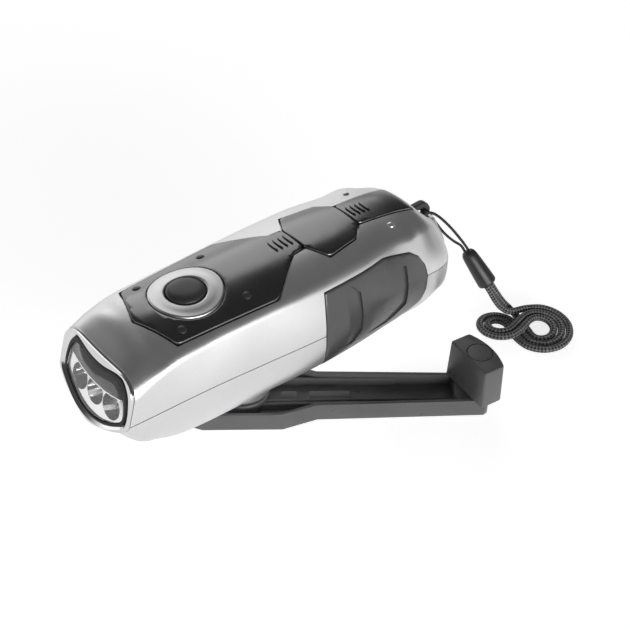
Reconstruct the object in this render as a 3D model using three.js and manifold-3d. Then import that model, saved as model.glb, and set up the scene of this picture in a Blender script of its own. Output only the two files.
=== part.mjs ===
// A hand crank flashlight standing on its crank, whose arm is swung out to one side.
// Millimetres, +Z up. The origin is on the crank's axis, on the surface that the crank lies on.
// The lens faces -Y, the tail points to +Y, and the arm is swung out on the +X side.
import * as THREE from "three";
import { mergeVertices } from "three/addons/utils/BufferGeometryUtils.js";
import Module from "manifold-3d";

const wasm = await Module();
wasm.setup();

// Clearances that several pieces share.
const gap = 0.3;
const overrun = 3;
const fineSides = 24;
const roundSides = 14;
const pinSides = 8;
const studSides = 6;

// The casing, measured from the crank's axis.
const body = {
  frontReach: 57,
  tailReach: 84.8,
  halfWidth: 24.2,
  crestZ: 59.8,
  seamZ: 38.3,
  floorZ: 13.5,
  wall: 2,
  seamGap: 0.3,
};

// One row per section from nose to tail: place along the length, crest, crease out and up,
// half width at the seam, seam height, depth of the floor, how far the tail's end face counts,
// and how square the lower half is.
const bodyStationShares = [
  [-0.02, 0.489, 0.745, 0.353, 0.765, 1, 0.31, 0, 3],
  [0.049, 0.696, 0.76, 0.445, 0.785, 1, 0.54, 0, 3],
  [0.092, 0.844, 0.747, 0.577, 0.822, 1.015, 0.715, 0, 2.8],
  [0.148, 0.944, 0.742, 0.69, 0.862, 1.03, 0.9, 0, 2.5],
  [0.233, 0.986, 0.745, 0.735, 0.9, 1.035, 0.96, 0, 2.4],
  [0.346, 1, 0.781, 0.763, 0.925, 1.01, 1, 0, 2.3],
  [0.522, 1, 0.818, 0.777, 1, 1, 1, 0, 2.3],
  [0.649, 0.99, 0.793, 0.786, 1, 1, 0.98, 0, 2.3],
  [0.74, 0.953, 0.723, 0.777, 0.967, 1, 0.96, 0, 2.3],
  [0.804, 0.9, 0.74, 0.75, 0.925, 1, 0.945, 0, 2.5],
  [0.846, 0.86, 0.66, 0.68, 0.912, 1, 0.798, 0, 3.4],
  [0.879, 0.8, 0.603, 0.63, 0.91, 1, 0.602, 0.1, 4.4],
  [0.922, 0.522, 0.499, 0.479, 0.824, 1, 0.607, 0.4, 4.1],
  [0.949, 0.337, 0.411, 0.271, 0.595, 1, 0.52, 0.6, 3],
  [0.977, 0.17, 0.225, 0.1, 0.395, 1, 0.355, 0.85, 2.6],
  [1, 0.11, 0.1, 0.065, 0.13, 1, 0.17, 1, 2.3],
];
const archShares = [0, 0.36, 0.7, 1];
const sideShares = [
  [0.42, 0.3],
  [0.8, 0.66],
];
const flankTurnsDeg = [20, 40, 60, 76, 90];
const creaseGrowShares = [0.8, 0.6];

// The front end: a lens face that is curved in plan and leans back.
const face = {
  reach: 54.5,
  z: 42.2,
  leanDeg: 16.7,
  curve: 120,
  curveSides: 90,
  halfWidth: 17.5,
  halfHeight: 10.4,
  shellSetback: 0.5,
  openingDepth: 6.4,
  blankLength: 60,
};
const faceOutlineShares = [
  [0, 0.96],
  [0.54, 1.02],
  [0.7, 0.94],
  [0.84, 0.73],
  [0.945, 0.51],
  [0.99, 0.17],
  [1, -0.2],
  [0.985, -0.5],
  [0.9, -0.65],
  [0.7, -0.78],
  [0.31, -0.93],
  [0, -0.98],
];
const bezel = { rim: 1.2, depth: 3.4 };
const gasket = { width: 1.5, recess: 0.4, depth: 2.2 };
const lens = { recess: 0.6, thickness: 1.4 };
const reflector = { setback: 2.3, depth: 9.5, border: 4.4, lamps: 3, pitch: 8.4, drop: 1.4 };
const cup = { mouthR: 4, throatR: 1.9 };
const cupProfileShares = [
  [0, 0],
  [0.55, 0.35],
  [1, 1],
];
const led = { r: 1.45, length: 4.6, domeShare: 0.6 };
const ledBoard = { halfWidth: 12.6, halfHeight: 5.2, thickness: 1.2, leadX: 3 };

// The panels let into the top.
const panel = { proud: 0.4, depth: 0.9, gap: 0.3 };
const frontPanel = {
  tipY: -39,
  frontHalf: 15.3,
  frontY: -33.4,
  rearHalf: 17.4,
  rearY: 2.2,
  neckStartHalf: 6.2,
  neckStartY: 16.6,
  neckHalf: 5.8,
  neckEndY: 21.4,
};
const insert = {
  neckHalf: 5.3,
  frontHalf: 12.8,
  frontY: 26.4,
  rearHalf: 10.9,
  rearY: 39.2,
  endHalf: 6.3,
  endY: 43.8,
};
const strip = { startHalf: 6.2, endHalf: 7.2, endY: 67.5 };
const stud = { r: 1.6, rise: 0.7, panelX: 12, frontY: -29.5, rearY: -5.8, topX: 11.3, topY: 53.8 };

// The switch in the middle of the front panel.
const button = {
  y: -19.7,
  r: 6.05,
  domeRise: 1.1,
  topAbovePanel: 0.1,
  flangeR: 7.4,
  flangeThickness: 1.2,
  stemR: 2,
  travel: 0.8,
};
const ring = { r: 11.9, proud: 0.75 };

// The rubber grips at the sides.
const grip = {
  frontY: 17.4,
  frontTopZ: 50.6,
  kneeY: 44.3,
  kneeZ: 52,
  shoulderY: 57.2,
  shoulderZ: 48.6,
  rearY: 61.8,
  rearZ: 38,
  heelY: 61,
  heelZ: 28,
  toeY: 48.4,
  toeZ: 21.5,
  frontLowZ: 19.5,
  depth: 1,
  proud: 0.2,
  innerX: 12,
};

// The crank arm: an open channel with a hub plate round the crank's axis.
const arm = {
  swingDeg: 38.5,
  height: 6.9,
  floor: 2.4,
  wall: 1.4,
  hubHalf: 12.9,
  hubFlat: 13.3,
  hubEnd: 22,
  hubEndHalf: 9.7,
  neckS: 25,
  neckHalf: 8.4,
  endS: 82.6,
  endHalf: 6.9,
  cornerCut: 1.2,
  blockS: 71.5,
  bossR: 8.9,
  bossBoreR: 3.4,
};
const armRib = { top: 5.5, width: 1, farT: -5.8, nearT: 3.5, longEnd: 71, shortT: 5, shortEnd: 52 };
const armBlock = { top: 5, t: 1.3, width: 3.8, firstStart: 13, firstEnd: 18, start: 22.3, end: 36 };
const knob = {
  radius: 78.6,
  leanDeg: 29.9,
  baseZ: 7.6,
  topZ: 22.6,
  halfLength: 9.5,
  backY: 4.9,
  frontY: 2.8,
  bulge: 2.1,
  bulgeSteps: 8,
  draftShare: 1.06,
  capSeatDepth: 1.2,
};
const knobCap = { r: 4.2 };
const knobPin = { r: 2, headR: 3, headThickness: 1, headSeatZ: 20.2, footZ: 2.7 };
const hubCap = { r: 4.6, thickness: 1.2 };
const crankScrew = { headR: 3, headThickness: 1.6, shankR: 1.3, length: 9, web: 1 };

// The shaft up into the casing and what carries it.
const shaft = { r: 3, boreR: 1.6, lowZ: 4.7 };
const collar = { r: 9.3, lowZ: 8.2 };
const bush = { r: 5, flangeR: 6.4, flangeThickness: 1.1, lowZ: 8.6 };
const washer = { r: 7.6, boreR: 3.3 };

// The gear train and the gear plate over it.
const coarse = { module: 0.8, wheelTeeth: 32, pinionTeeth: 10 };
const fine = { module: 0.6, wheelTeeth: 30, pinionTeeth: 10 };
const toothShares = { tip: 0.7, root: 1, tipHalf: 0.1, rootHalf: 0.27 };
const gears = {
  firstZ: 20.2,
  firstFace: 3.2,
  face: 2.5,
  step: 0.5,
  firstX: -6,
  secondX: 4.5,
  rotorX: 0,
  axleR: 1,
  axleSeat: 1.4,
  axleBossR: 2.6,
};
const plate = {
  over: 1.2,
  thickness: 1.6,
  halfWidth: 15,
  frontY: -13,
  rearY: 50,
  corner: 4,
  postR: 2.4,
  frontPostX: 12.4,
  frontPostY: -10.5,
  rearPostX: 12,
  rearPostY: 46.5,
  screwR: 0.9,
  screwHeadR: 1.8,
  screwHeadThickness: 1.1,
  screwLength: 7,
  pegRise: 1,
};
const stator = { r: 13.6, boreR: 10, height: 11, cupWall: 1.2, coilBoreR: 10.2, split: 0.4 };
const rotor = { r: 9.2, height: 7.6, rise: 0.7, seat: 0.5 };

// The cells, the board and the case screws.
const cell = { r: 7.7, length: 6, pitch: 6.5, y: -29, z: 26.6, count: 3 };
const cradle = { halfLength: 9.4, halfThickness: 1.1, spread: 4.5, topZ: 23.6 };
const board = {
  halfWidth: 12.5,
  frontY: -31,
  rearY: 8,
  lowZ: 47,
  thickness: 1.4,
  postX: 9.4,
  frontPostY: -27.5,
  rearPostY: 3.5,
  postR: 2.2,
  leadInset: 2,
};
const tact = { half: 3, height: 2.4, plungerR: 1.5, plungerRise: 0.9 };
const capacitor = { r: 4, height: 8, y: -4, x: -5 };
const boardScrew = { headR: 1.6, headThickness: 1, shankR: 0.8, length: 4.4 };
const caseScrew = {
  frontX: 13.5,
  frontY: -36,
  rearX: 12.5,
  rearInset: 28.3,
  bossR: 3.3,
  headR: 1.9,
  headThickness: 1.2,
  shankR: 0.95,
  length: 11.5,
  seatZ: 30,
  topZ: 36,
};
const lead = { r: 0.6, steps: 8, sides: 8, stub: 1.6, reach: 3.4 };

// The lanyard: a lug on the tail, a thin string, a clamp bead and a braided cord in a hank.
const lug = { halfThickness: 1.2, rootInset: 13.3, tipInset: 2, lowAbove: 2.5, topAbove: 10.5 };
const lugOutlineShares = [
  [0, 0.93],
  [0.36, 0.98],
  [0.72, 1],
  [0.86, 0.87],
  [1, 0.56],
  [0.97, 0.3],
  [0.85, 0.1],
  [0.7, 0],
  [0, 0],
];
const lugHoleShares = [
  [0.42, 0.73],
  [0.7, 0.75],
  [0.83, 0.54],
  [0.81, 0.4],
  [0.72, 0.3],
];
const string = { r: 0.5, steps: 26, sides: 8 };
const bead = { r: 2.75, chamfer: 0.7 };
const cord = { r: 1.1, sides: 8, steps: 8 };
const hank = {
  x: 34.6,
  y: 100.4,
  turnDeg: 44,
  span: 15,
  leftR: 6,
  rightR: 7.2,
  pitch: 2.9,
  lift: 2.9,
  floorGap: 0.05,
  turns: 2,
  arcSteps: 9,
  runSteps: 3,
  endSteps: 8,
  sides: 6,
};

// Points chosen by hand: bead ends, string from the bead through the lug and back, and both strands.
const beadRoute = [
  [11.1, 93.3, 27],
  [19, 97.6, 15],
];
const stringRoute = [
  [11.5, 93.5, 27.7],
  [10.2, 92.8, 29.6],
  [8.6, 91.2, 32.6],
  [6.7, 89.4, 35.8],
  [4.7, 87.6, 38.6],
  [3.2, 85.3, 41.4],
  [2.6, 82.8, 43.6],
  [1.7, 80.2, 44.9],
  [0, 79.6, 45.1],
  [-1.7, 80.2, 44.8],
  [-2.4, 82.8, 43.2],
  [-1.6, 85.5, 40],
  [0.8, 87, 36.4],
  [3.9, 88.2, 33.3],
  [6.9, 90, 30.8],
  [9.1, 92.2, 28.7],
  [10.4, 92.9, 26.8],
];
const leftStrandRoute = [
  [19.8, 96.5, 14.8],
  [20.9, 97.2, 13],
  [22.6, 98.4, 9.6],
  [24.9, 99.9, 6.3],
  [27.2, 102.2, 4.4],
];
const rightStrandRoute = [
  [18.5, 98.8, 14.8],
  [19.7, 99.5, 13],
  [21.1, 101, 9.7],
  [22.7, 103, 6],
  [24.9, 105, 2.9],
];

const finishes = {
  silver: { color: 0xc9cbcd, roughness: 0.35, metalness: 0.55 },
  glossBlack: { color: 0x15161a, roughness: 0.15, metalness: 0 },
  satinBlack: { color: 0x2b2c2f, roughness: 0.5, metalness: 0 },
  darkGrey: { color: 0x3c3e42, roughness: 0.5, metalness: 0 },
  rubber: { color: 0x36383b, roughness: 0.8, metalness: 0 },
  chrome: { color: 0xe8eaec, roughness: 0.1, metalness: 1 },
  satinMetal: { color: 0xb9bcc0, roughness: 0.3, metalness: 0.9 },
  steel: { color: 0x8f9296, roughness: 0.35, metalness: 1 },
  brass: { color: 0xc09a4d, roughness: 0.35, metalness: 1 },
  copper: { color: 0xb06a3c, roughness: 0.45, metalness: 0.8 },
  clear: { color: 0xeef4f8, roughness: 0.05, metalness: 0 },
  nylon: { color: 0xe9e6dc, roughness: 0.5, metalness: 0 },
  board: { color: 0x2f6b45, roughness: 0.6, metalness: 0 },
  wrap: { color: 0x2e7d5b, roughness: 0.5, metalness: 0 },
  red: { color: 0xb32d2a, roughness: 0.6, metalness: 0 },
  magnet: { color: 0x55585c, roughness: 0.6, metalness: 0.4 },
};

const radians = (degrees) => THREE.MathUtils.degToRad(degrees);

// A closed geometry as a solid with its faces pointing out.
function toSolid(geometry) {
  const bare = new THREE.BufferGeometry();
  const source = geometry.index ? geometry.toNonIndexed() : geometry;
  bare.setAttribute("position", source.getAttribute("position").clone());
  const merged = mergeVertices(bare);
  const vertProperties = merged.attributes.position.array;
  const triVerts = new Uint32Array(merged.index.array);
  const made = new wasm.Manifold(new wasm.Mesh({ numProp: 3, vertProperties, triVerts }));
  if (made.volume() >= 0) return made;
  for (let i = 0; i < triVerts.length; i += 3) {
    [triVerts[i + 1], triVerts[i + 2]] = [triVerts[i + 2], triVerts[i + 1]];
  }
  return new wasm.Manifold(new wasm.Mesh({ numProp: 3, vertProperties, triVerts }));
}

function toGeometry(solid) {
  const mesh = solid.getMesh();
  const positions = new Float32Array(mesh.numVert * 3);
  for (let i = 0; i < mesh.numVert; i += 1) {
    positions.set(mesh.vertProperties.subarray(i * mesh.numProp, i * mesh.numProp + 3), i * 3);
  }
  const geometry = new THREE.BufferGeometry();
  geometry.setAttribute("position", new THREE.BufferAttribute(positions, 3));
  geometry.setIndex(new THREE.BufferAttribute(mesh.triVerts, 1));
  return geometry;
}

const join = (first, ...rest) =>
  toGeometry(rest.reduce((all, next) => all.add(toSolid(next)), toSolid(first)));
const cut = (first, ...rest) =>
  toGeometry(rest.reduce((all, next) => all.subtract(toSolid(next)), toSolid(first)));
const common = (first, second) => toGeometry(toSolid(first).intersect(toSolid(second)));

// An upright cylinder between two heights.
function disc(r, lowZ, highZ, x = 0, y = 0, sides = roundSides) {
  const geometry = new THREE.CylinderGeometry(r, r, highZ - lowZ, sides);
  geometry.rotateX(Math.PI / 2);
  return geometry.translate(x, y, (lowZ + highZ) / 2);
}

function block(x, y, z) {
  const geometry = new THREE.BoxGeometry(x[1] - x[0], y[1] - y[0], z[1] - z[0]);
  return geometry.translate((x[0] + x[1]) / 2, (y[0] + y[1]) / 2, (z[0] + z[1]) / 2);
}

// An outline in X and Y between two heights.
function prism(points, lowZ, highZ) {
  const shape = new THREE.Shape(points.map(([x, y]) => new THREE.Vector2(x, y)));
  const geometry = new THREE.ExtrudeGeometry(shape, { depth: highZ - lowZ, bevelEnabled: false });
  return geometry.translate(0, 0, lowZ);
}

// A profile of radius and height turned about the Z axis.
function turned(profile, sides = roundSides) {
  const points = profile.map(([r, z]) => new THREE.Vector2(r, z));
  return new THREE.LatheGeometry(points, sides).rotateX(Math.PI / 2);
}

// A half outline from its first point on the centre line to its last one, completed on the other side.
function mirrored(half) {
  const other = half
    .slice()
    .reverse()
    .filter(([x]) => x > 0)
    .map(([x, y]) => [-x, y]);
  return half.concat(other);
}

// Closed rings of points joined one to the next, with flat ends.
function loft(rings) {
  const count = rings[0].length;
  const positions = rings.flatMap((points) => points.flatMap((p) => [p.x, p.y, p.z]));
  const index = [];
  for (let r = 0; r < rings.length - 1; r += 1) {
    for (let i = 0; i < count; i += 1) {
      const a = r * count + i;
      const b = r * count + ((i + 1) % count);
      index.push(a, b, a + count, b, b + count, a + count);
    }
  }
  for (const last of [0, rings.length - 1]) {
    const centre = new THREE.Vector3();
    rings[last].forEach((p) => centre.addScaledVector(p, 1 / count));
    const middle = positions.length / 3;
    positions.push(centre.x, centre.y, centre.z);
    for (let i = 0; i < count; i += 1) {
      const a = last * count + i;
      const b = last * count + ((i + 1) % count);
      index.push(...(last ? [a, b, middle] : [b, a, middle]));
    }
  }
  const geometry = new THREE.BufferGeometry();
  geometry.setAttribute("position", new THREE.Float32BufferAttribute(positions, 3));
  return geometry.setIndex(index);
}

// A round tube along a curve.
function tube(curve, r, steps, sides) {
  const outline = [];
  for (let i = 0; i < sides; i += 1) {
    const turn = (2 * Math.PI * (i + 0.5)) / sides;
    outline.push(new THREE.Vector2(r * Math.cos(turn), r * Math.sin(turn)));
  }
  return new THREE.ExtrudeGeometry(new THREE.Shape(outline), { steps, extrudePath: curve });
}

const routeCurve = (route) =>
  new THREE.CatmullRomCurve3(route.map((p) => new THREE.Vector3(...p)));

const torch = new THREE.Group();
const crankGroup = new THREE.Group();
crankGroup.rotation.z = -radians(arm.swingDeg);
torch.add(crankGroup);

function piece(name, finish, geometry, group = torch) {
  const material = new THREE.MeshStandardMaterial({ ...finishes[finish], flatShading: true });
  const mesh = new THREE.Mesh(geometry, material);
  mesh.name = name;
  group.add(mesh);
  return mesh;
}

// The casing's section at one station, grown outwards (or inwards) by a length.
function sectionHalf(row, grow) {
  const [along, crest, creaseX, creaseZ, seamX, seamZ, floor, end, power] = row;
  const rise = body.crestZ - body.seamZ;
  const y = along * (body.frontReach + body.tailReach) - body.frontReach + end * grow;
  const seam = new THREE.Vector3(seamX * body.halfWidth + grow, y, seamZ * body.seamZ);
  const topZ = body.seamZ + crest * rise + grow;
  const foldX = creaseX * body.halfWidth + creaseGrowShares[0] * grow;
  const foldZ = body.seamZ + creaseZ * rise + creaseGrowShares[1] * grow;
  const depth = floor * (body.seamZ - body.floorZ) + grow;
  const arch = archShares.map(
    (t) => new THREE.Vector3(foldX * t, y, topZ - (topZ - foldZ) * t * t),
  );
  const side = sideShares.map(
    ([out, down]) =>
      new THREE.Vector3(foldX + (seam.x - foldX) * out, y, foldZ + (seam.z - foldZ) * down),
  );
  const flank = flankTurnsDeg.map((degrees) => {
    const turn = radians(degrees);
    const out = degrees === 90 ? 0 : Math.cos(turn) ** (2 / power);
    return new THREE.Vector3(seam.x * out, y, body.seamZ - depth * Math.sin(turn) ** (2 / power));
  });
  return { arch, side, seam, flank };
}

const flip = (p) => new THREE.Vector3(-p.x, p.y, p.z);

function upperRing(row, grow) {
  const { arch, side, seam } = sectionHalf(row, grow);
  const right = arch.concat(side, [seam]);
  return right.reverse().concat(right.slice(0, -1).reverse().map(flip));
}

function lowerRing(row, grow) {
  const { flank, seam } = sectionHalf(row, grow);
  seam.z -= body.seamGap;
  const right = [seam].concat(flank);
  return right.concat(right.slice(0, -1).reverse().map(flip));
}

function fullRing(row, grow) {
  const { arch, side, seam, flank } = sectionHalf(row, grow);
  const right = arch.concat(side, [seam], flank);
  return right.concat(right.slice(1, -1).reverse().map(flip));
}

const skin = (ring, grow) => loft(bodyStationShares.map((row) => ring(row, grow)));

// The face's own axes: X across, Y up along the face, Z out of it.
const lean = radians(face.leanDeg);
const faceFrame = new THREE.Matrix4().makeBasis(
  new THREE.Vector3(1, 0, 0),
  new THREE.Vector3(0, Math.sin(lean), Math.cos(lean)),
  new THREE.Vector3(0, -Math.cos(lean), Math.sin(lean)),
);
faceFrame.setPosition(0, -face.reach, face.z);

// The space behind the curved face, set back by a depth.
function behindFace(depth) {
  const r = face.curve - depth;
  const blank = new THREE.CylinderGeometry(r, r, face.blankLength + overrun, face.curveSides);
  return blank.translate(0, 0, -face.curve).applyMatrix4(faceFrame);
}

// All that lies in front of the curved face, set back by a depth.
function beforeFace(depth) {
  const half = face.blankLength / 2;
  const front = block([-half, half], [-half, half], [-half, half]);
  return cut(front.applyMatrix4(faceFrame), behindFace(depth));
}

// The face's outline, drawn in by a margin, from the front back to a depth.
function faceBlock(margin, depth = face.blankLength / 2) {
  const wide = face.halfWidth - margin;
  const high = face.halfHeight - margin;
  const outline = mirrored(faceOutlineShares.map(([x, y]) => [x * wide, y * high]));
  return prism(outline, -depth, overrun).applyMatrix4(faceFrame);
}

// A slice of the face's outline between two depths of the curved face.
function faceSlice(margin, front, back) {
  return cut(common(faceBlock(margin), behindFace(front)), behindFace(back));
}

const frontPanelOutline = mirrored([
  [0, frontPanel.tipY],
  [frontPanel.frontHalf, frontPanel.frontY],
  [frontPanel.rearHalf, frontPanel.rearY],
  [frontPanel.neckStartHalf, frontPanel.neckStartY],
  [frontPanel.neckHalf, frontPanel.neckEndY],
  [0, frontPanel.neckEndY],
]);
const insertOutline = mirrored([
  [0, frontPanel.neckEndY + panel.gap],
  [insert.neckHalf, frontPanel.neckEndY + panel.gap],
  [insert.frontHalf, insert.frontY],
  [insert.rearHalf, insert.rearY],
  [insert.endHalf, insert.endY],
  [0, insert.endY],
]);
const stripOutline = mirrored([
  [0, insert.endY + panel.gap],
  [strip.startHalf, insert.endY + panel.gap],
  [strip.endHalf, strip.endY],
  [0, strip.endY],
]);

// An outline with each of its edges moved outwards by a margin.
function grown(outline, margin) {
  const points = outline.map(([x, y]) => new THREE.Vector2(x, y));
  const outwards = THREE.ShapeUtils.area(points) > 0 ? margin : -margin;
  return points.map((point, i) => {
    const before = points[(i + points.length - 1) % points.length];
    const after = points[(i + 1) % points.length];
    const inEdge = point.clone().sub(before).normalize();
    const outEdge = after.clone().sub(point).normalize();
    const corner = new THREE.Vector2(inEdge.y + outEdge.y, -inEdge.x - outEdge.x);
    const reach = outwards / (1 + inEdge.dot(outEdge));
    return [point.x + corner.x * reach, point.y + corner.y * reach];
  });
}

// A panel in the top: its outline between two offsets of the casing's skin.
function topPanel(outline, proud, depth) {
  const blank = prism(outline, body.seamZ + body.wall, body.crestZ + overrun);
  return cut(common(blank, skin(fullRing, proud)), skin(fullRing, -depth));
}

function studsOn(places, proud) {
  return places.map(([x, y]) => {
    const dome = new THREE.SphereGeometry(stud.r, studSides, studSides / 2);
    dome.scale(1, 1, stud.rise / stud.r);
    return dome.translate(x, y, topHeight(x, y) + proud);
  });
}

// Height of the casing's top at a place in plan.
function topHeight(x, y) {
  const share = (y + body.frontReach) / (body.frontReach + body.tailReach);
  const next = bodyStationShares.findIndex(([along]) => along > share);
  const [before, after] = [bodyStationShares[next - 1], bodyStationShares[next]];
  const t = (share - before[0]) / (after[0] - before[0]);
  const row = before.map((value, i) => value + (after[i] - value) * t);
  const arch = sectionHalf(row, 0).arch;
  const outer = arch.findIndex((p) => p.x >= Math.abs(x));
  const [a, b] = [arch[Math.max(outer - 1, 0)], arch[Math.max(outer, 1)]];
  return a.z + ((b.z - a.z) * (Math.abs(x) - a.x)) / (b.x - a.x);
}

const panelStuds = [
  [-stud.panelX, stud.frontY],
  [stud.panelX, stud.frontY],
  [-stud.panelX, stud.rearY],
  [stud.panelX, stud.rearY],
];
const topStuds = [
  [-stud.topX, stud.topY],
  [stud.topX, stud.topY],
];

const gripOutline = [
  [grip.frontY, grip.frontLowZ],
  [grip.frontY, grip.frontTopZ],
  [grip.kneeY, grip.kneeZ],
  [grip.shoulderY, grip.shoulderZ],
  [grip.rearY, grip.rearZ],
  [grip.heelY, grip.heelZ],
  [grip.toeY, grip.toeZ],
];

// The grip's outline seen from the side, run out through the casing on one side.
function gripBlock(side, margin) {
  const points = grown(
    gripOutline.map(([y, z]) => [z, y]),
    margin,
  ).map(([z, y]) => [y, z]);
  const blank = prism(points, grip.innerX, body.halfWidth + overrun);
  const sideways = new THREE.Matrix4().makeBasis(
    new THREE.Vector3(0, 1, 0),
    new THREE.Vector3(0, 0, 1),
    new THREE.Vector3(1, 0, 0),
  );
  blank.applyMatrix4(sideways);
  return side > 0 ? blank : blank.scale(-1, 1, 1);
}

const caseScrewPlaces = [
  [-caseScrew.frontX, caseScrew.frontY],
  [caseScrew.frontX, caseScrew.frontY],
  [-caseScrew.rearX, body.tailReach - caseScrew.rearInset],
  [caseScrew.rearX, body.tailReach - caseScrew.rearInset],
];
const plateScrewPlaces = [
  [-plate.frontPostX, plate.frontPostY],
  [plate.rearPostX, plate.rearPostY],
];
const platePegPlaces = [
  [plate.frontPostX, plate.frontPostY],
  [-plate.rearPostX, plate.rearPostY],
];
const boardPlaces = [
  [-board.postX, board.frontPostY],
  [board.postX, board.rearPostY],
];

// Centres of the gear axes, each in mesh with the one before it.
const coarseSpan = (coarse.module * (coarse.wheelTeeth + coarse.pinionTeeth)) / 2;
const fineSpan = (fine.module * (fine.wheelTeeth + fine.pinionTeeth)) / 2;
const ahead = (from, x, span) => [x, from[1] + Math.sqrt(span ** 2 - (x - from[0]) ** 2)];
const firstAxis = ahead([0, 0], gears.firstX, coarseSpan);
const secondAxis = ahead(firstAxis, gears.secondX, fineSpan);
const rotorAxis = ahead(secondAxis, gears.rotorX, fineSpan);
const firstTop = gears.firstZ + gears.firstFace;
const secondZ = firstTop + gears.step;
const secondTop = secondZ + gears.face;
const thirdZ = secondTop + gears.step;
const thirdTop = thirdZ + gears.face;
const plateLow = thirdTop + plate.over;
const plateTop = plateLow + plate.thickness;
const floorInside = body.floorZ + body.wall;

// A spur gear's body with its first tooth at a turn from +X.
function gearWheel(module, teeth, turn, lowZ, highZ, [x, y]) {
  const pitchR = (module * teeth) / 2;
  const tipR = pitchR + toothShares.tip * module;
  const rootR = pitchR - toothShares.root * module;
  const step = (2 * Math.PI) / teeth;
  const outline = [];
  for (let i = 0; i < teeth; i += 1) {
    const at = turn + i * step;
    for (const [r, share] of [
      [rootR, -toothShares.rootHalf],
      [tipR, -toothShares.tipHalf],
      [tipR, toothShares.tipHalf],
      [rootR, toothShares.rootHalf],
    ]) {
      outline.push([x + r * Math.cos(at + share * step), y + r * Math.sin(at + share * step)]);
    }
  }
  return prism(outline, lowZ, highZ);
}

const bearing = (from, to) => Math.atan2(to[1] - from[1], to[0] - from[0]);
// A gear that meets the one at another axis with a gap between two of its teeth.
const gapTurn = (from, to, teeth) => bearing(from, to) + Math.PI / teeth;

const caseBore = ([x, y]) =>
  disc(caseScrew.shankR + gap, body.floorZ, caseScrew.topZ + caseScrew.length, x, y, pinSides);

// What is cut from the casing for the pieces let into it.
function casingRecesses() {
  const panels = [frontPanelOutline, insertOutline, stripOutline].map((outline) =>
    topPanel(grown(outline, panel.gap), overrun, panel.depth + panel.gap),
  );
  const grips = [1, -1].map((side) =>
    cut(gripBlock(side, panel.gap), skin(fullRing, -grip.depth - panel.gap)),
  );
  const lensWay = faceBlock(-gap, face.openingDepth);
  return { panels, grips, lensWay };
}

function makeUpperShell({ panels, grips, lensWay }) {
  const walls = cut(skin(upperRing, 0), skin(fullRing, -body.wall));
  const postTop = (x, y) => topHeight(x, y) - body.wall / 2;
  const casePosts = caseScrewPlaces.map(([x, y]) =>
    disc(caseScrew.bossR, caseScrew.topZ + body.seamGap, postTop(x, y), x, y, pinSides),
  );
  const boardPosts = boardPlaces.map(([x, y]) =>
    disc(board.postR, board.lowZ + board.thickness + gap, postTop(x, y), x, y, pinSides),
  );
  const posts = common(join(...casePosts, ...boardPosts), skin(fullRing, -body.wall / 2));
  const boardBores = boardPlaces.map(([x, y]) =>
    disc(boardScrew.shankR + gap, board.lowZ, board.lowZ + boardScrew.length + gap, x, y, pinSides),
  );
  const switchWay = disc(button.r + gap, board.lowZ, body.crestZ + overrun, 0, button.y, fineSides);
  const whole = join(walls, posts, ...studsOn(topStuds, 0));
  const shell = cut(
    whole,
    beforeFace(face.shellSetback),
    ...panels,
    ...grips,
    lensWay,
    switchWay,
    lugBlank(gap),
    ...caseScrewPlaces.map(caseBore),
    ...boardBores,
  );
  piece("upper_shell", "silver", shell);
}

const bossTops = [
  [firstAxis, gears.firstZ - gap],
  [secondAxis, secondZ - gap],
  [rotorAxis, thirdZ - gap],
];

function makeLowerShell({ grips, lensWay }) {
  const walls = cut(skin(lowerRing, 0), skin(fullRing, -body.wall));
  const base = body.floorZ + body.wall / 2;
  const casePosts = caseScrewPlaces.map(([x, y]) =>
    disc(caseScrew.bossR, base, caseScrew.topZ, x, y, pinSides),
  );
  const platePosts = [...plateScrewPlaces, ...platePegPlaces].map(([x, y]) =>
    disc(plate.postR, base, plateLow - gap, x, y, pinSides),
  );
  const pegs = platePegPlaces.map(([x, y]) =>
    disc(plate.screwR, base, plateTop + plate.pegRise, x, y, pinSides),
  );
  const axleBosses = bossTops.map(([[x, y], top]) =>
    disc(gears.axleBossR, base, top, x, y, pinSides),
  );
  const saddle = disc(cell.r + gap, -body.halfWidth, body.halfWidth, 0, 0, fineSides);
  saddle.rotateY(Math.PI / 2).translate(0, cell.y, cell.z);
  const cradles = [-1, 1].map((end) => {
    const middle = cell.y + end * cradle.spread;
    const thick = [middle - cradle.halfThickness, middle + cradle.halfThickness];
    return block([-cradle.halfLength, cradle.halfLength], thick, [base, cradle.topZ]);
  });
  const inside = common(
    join(...casePosts, ...platePosts, ...pegs, ...axleBosses, cut(join(...cradles), saddle)),
    skin(fullRing, -body.wall / 2),
  );
  const collarTop = body.floorZ + body.wall;
  const whole = join(walls, inside, disc(collar.r, collar.lowZ, collarTop, 0, 0, fineSides));
  const headWays = caseScrewPlaces.map(([x, y]) =>
    disc(caseScrew.headR + gap, body.floorZ - overrun, caseScrew.seatZ, x, y, pinSides),
  );
  const axleBores = bossTops.map(([[x, y], top]) =>
    disc(gears.axleR + gap, floorInside - gears.axleSeat, top + overrun, x, y, pinSides),
  );
  const plateBores = plateScrewPlaces.map(([x, y]) =>
    disc(plate.screwR + gap, plateLow - plate.screwLength, plateLow, x, y, pinSides),
  );
  const shell = cut(
    whole,
    beforeFace(face.shellSetback),
    ...grips,
    lensWay,
    disc(bush.r + gap, collar.lowZ - overrun, floorInside + overrun, 0, 0),
    disc(bush.flangeR + gap, floorInside, floorInside + overrun, 0, 0),
    ...headWays,
    ...axleBores,
    ...plateBores,
    ...caseScrewPlaces.map(caseBore),
  );
  piece("lower_shell", "silver", shell);
}

const reflectorBack = reflector.setback + reflector.depth;
const ledBoardBack = reflectorBack + 2 * gap + ledBoard.thickness;

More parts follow.
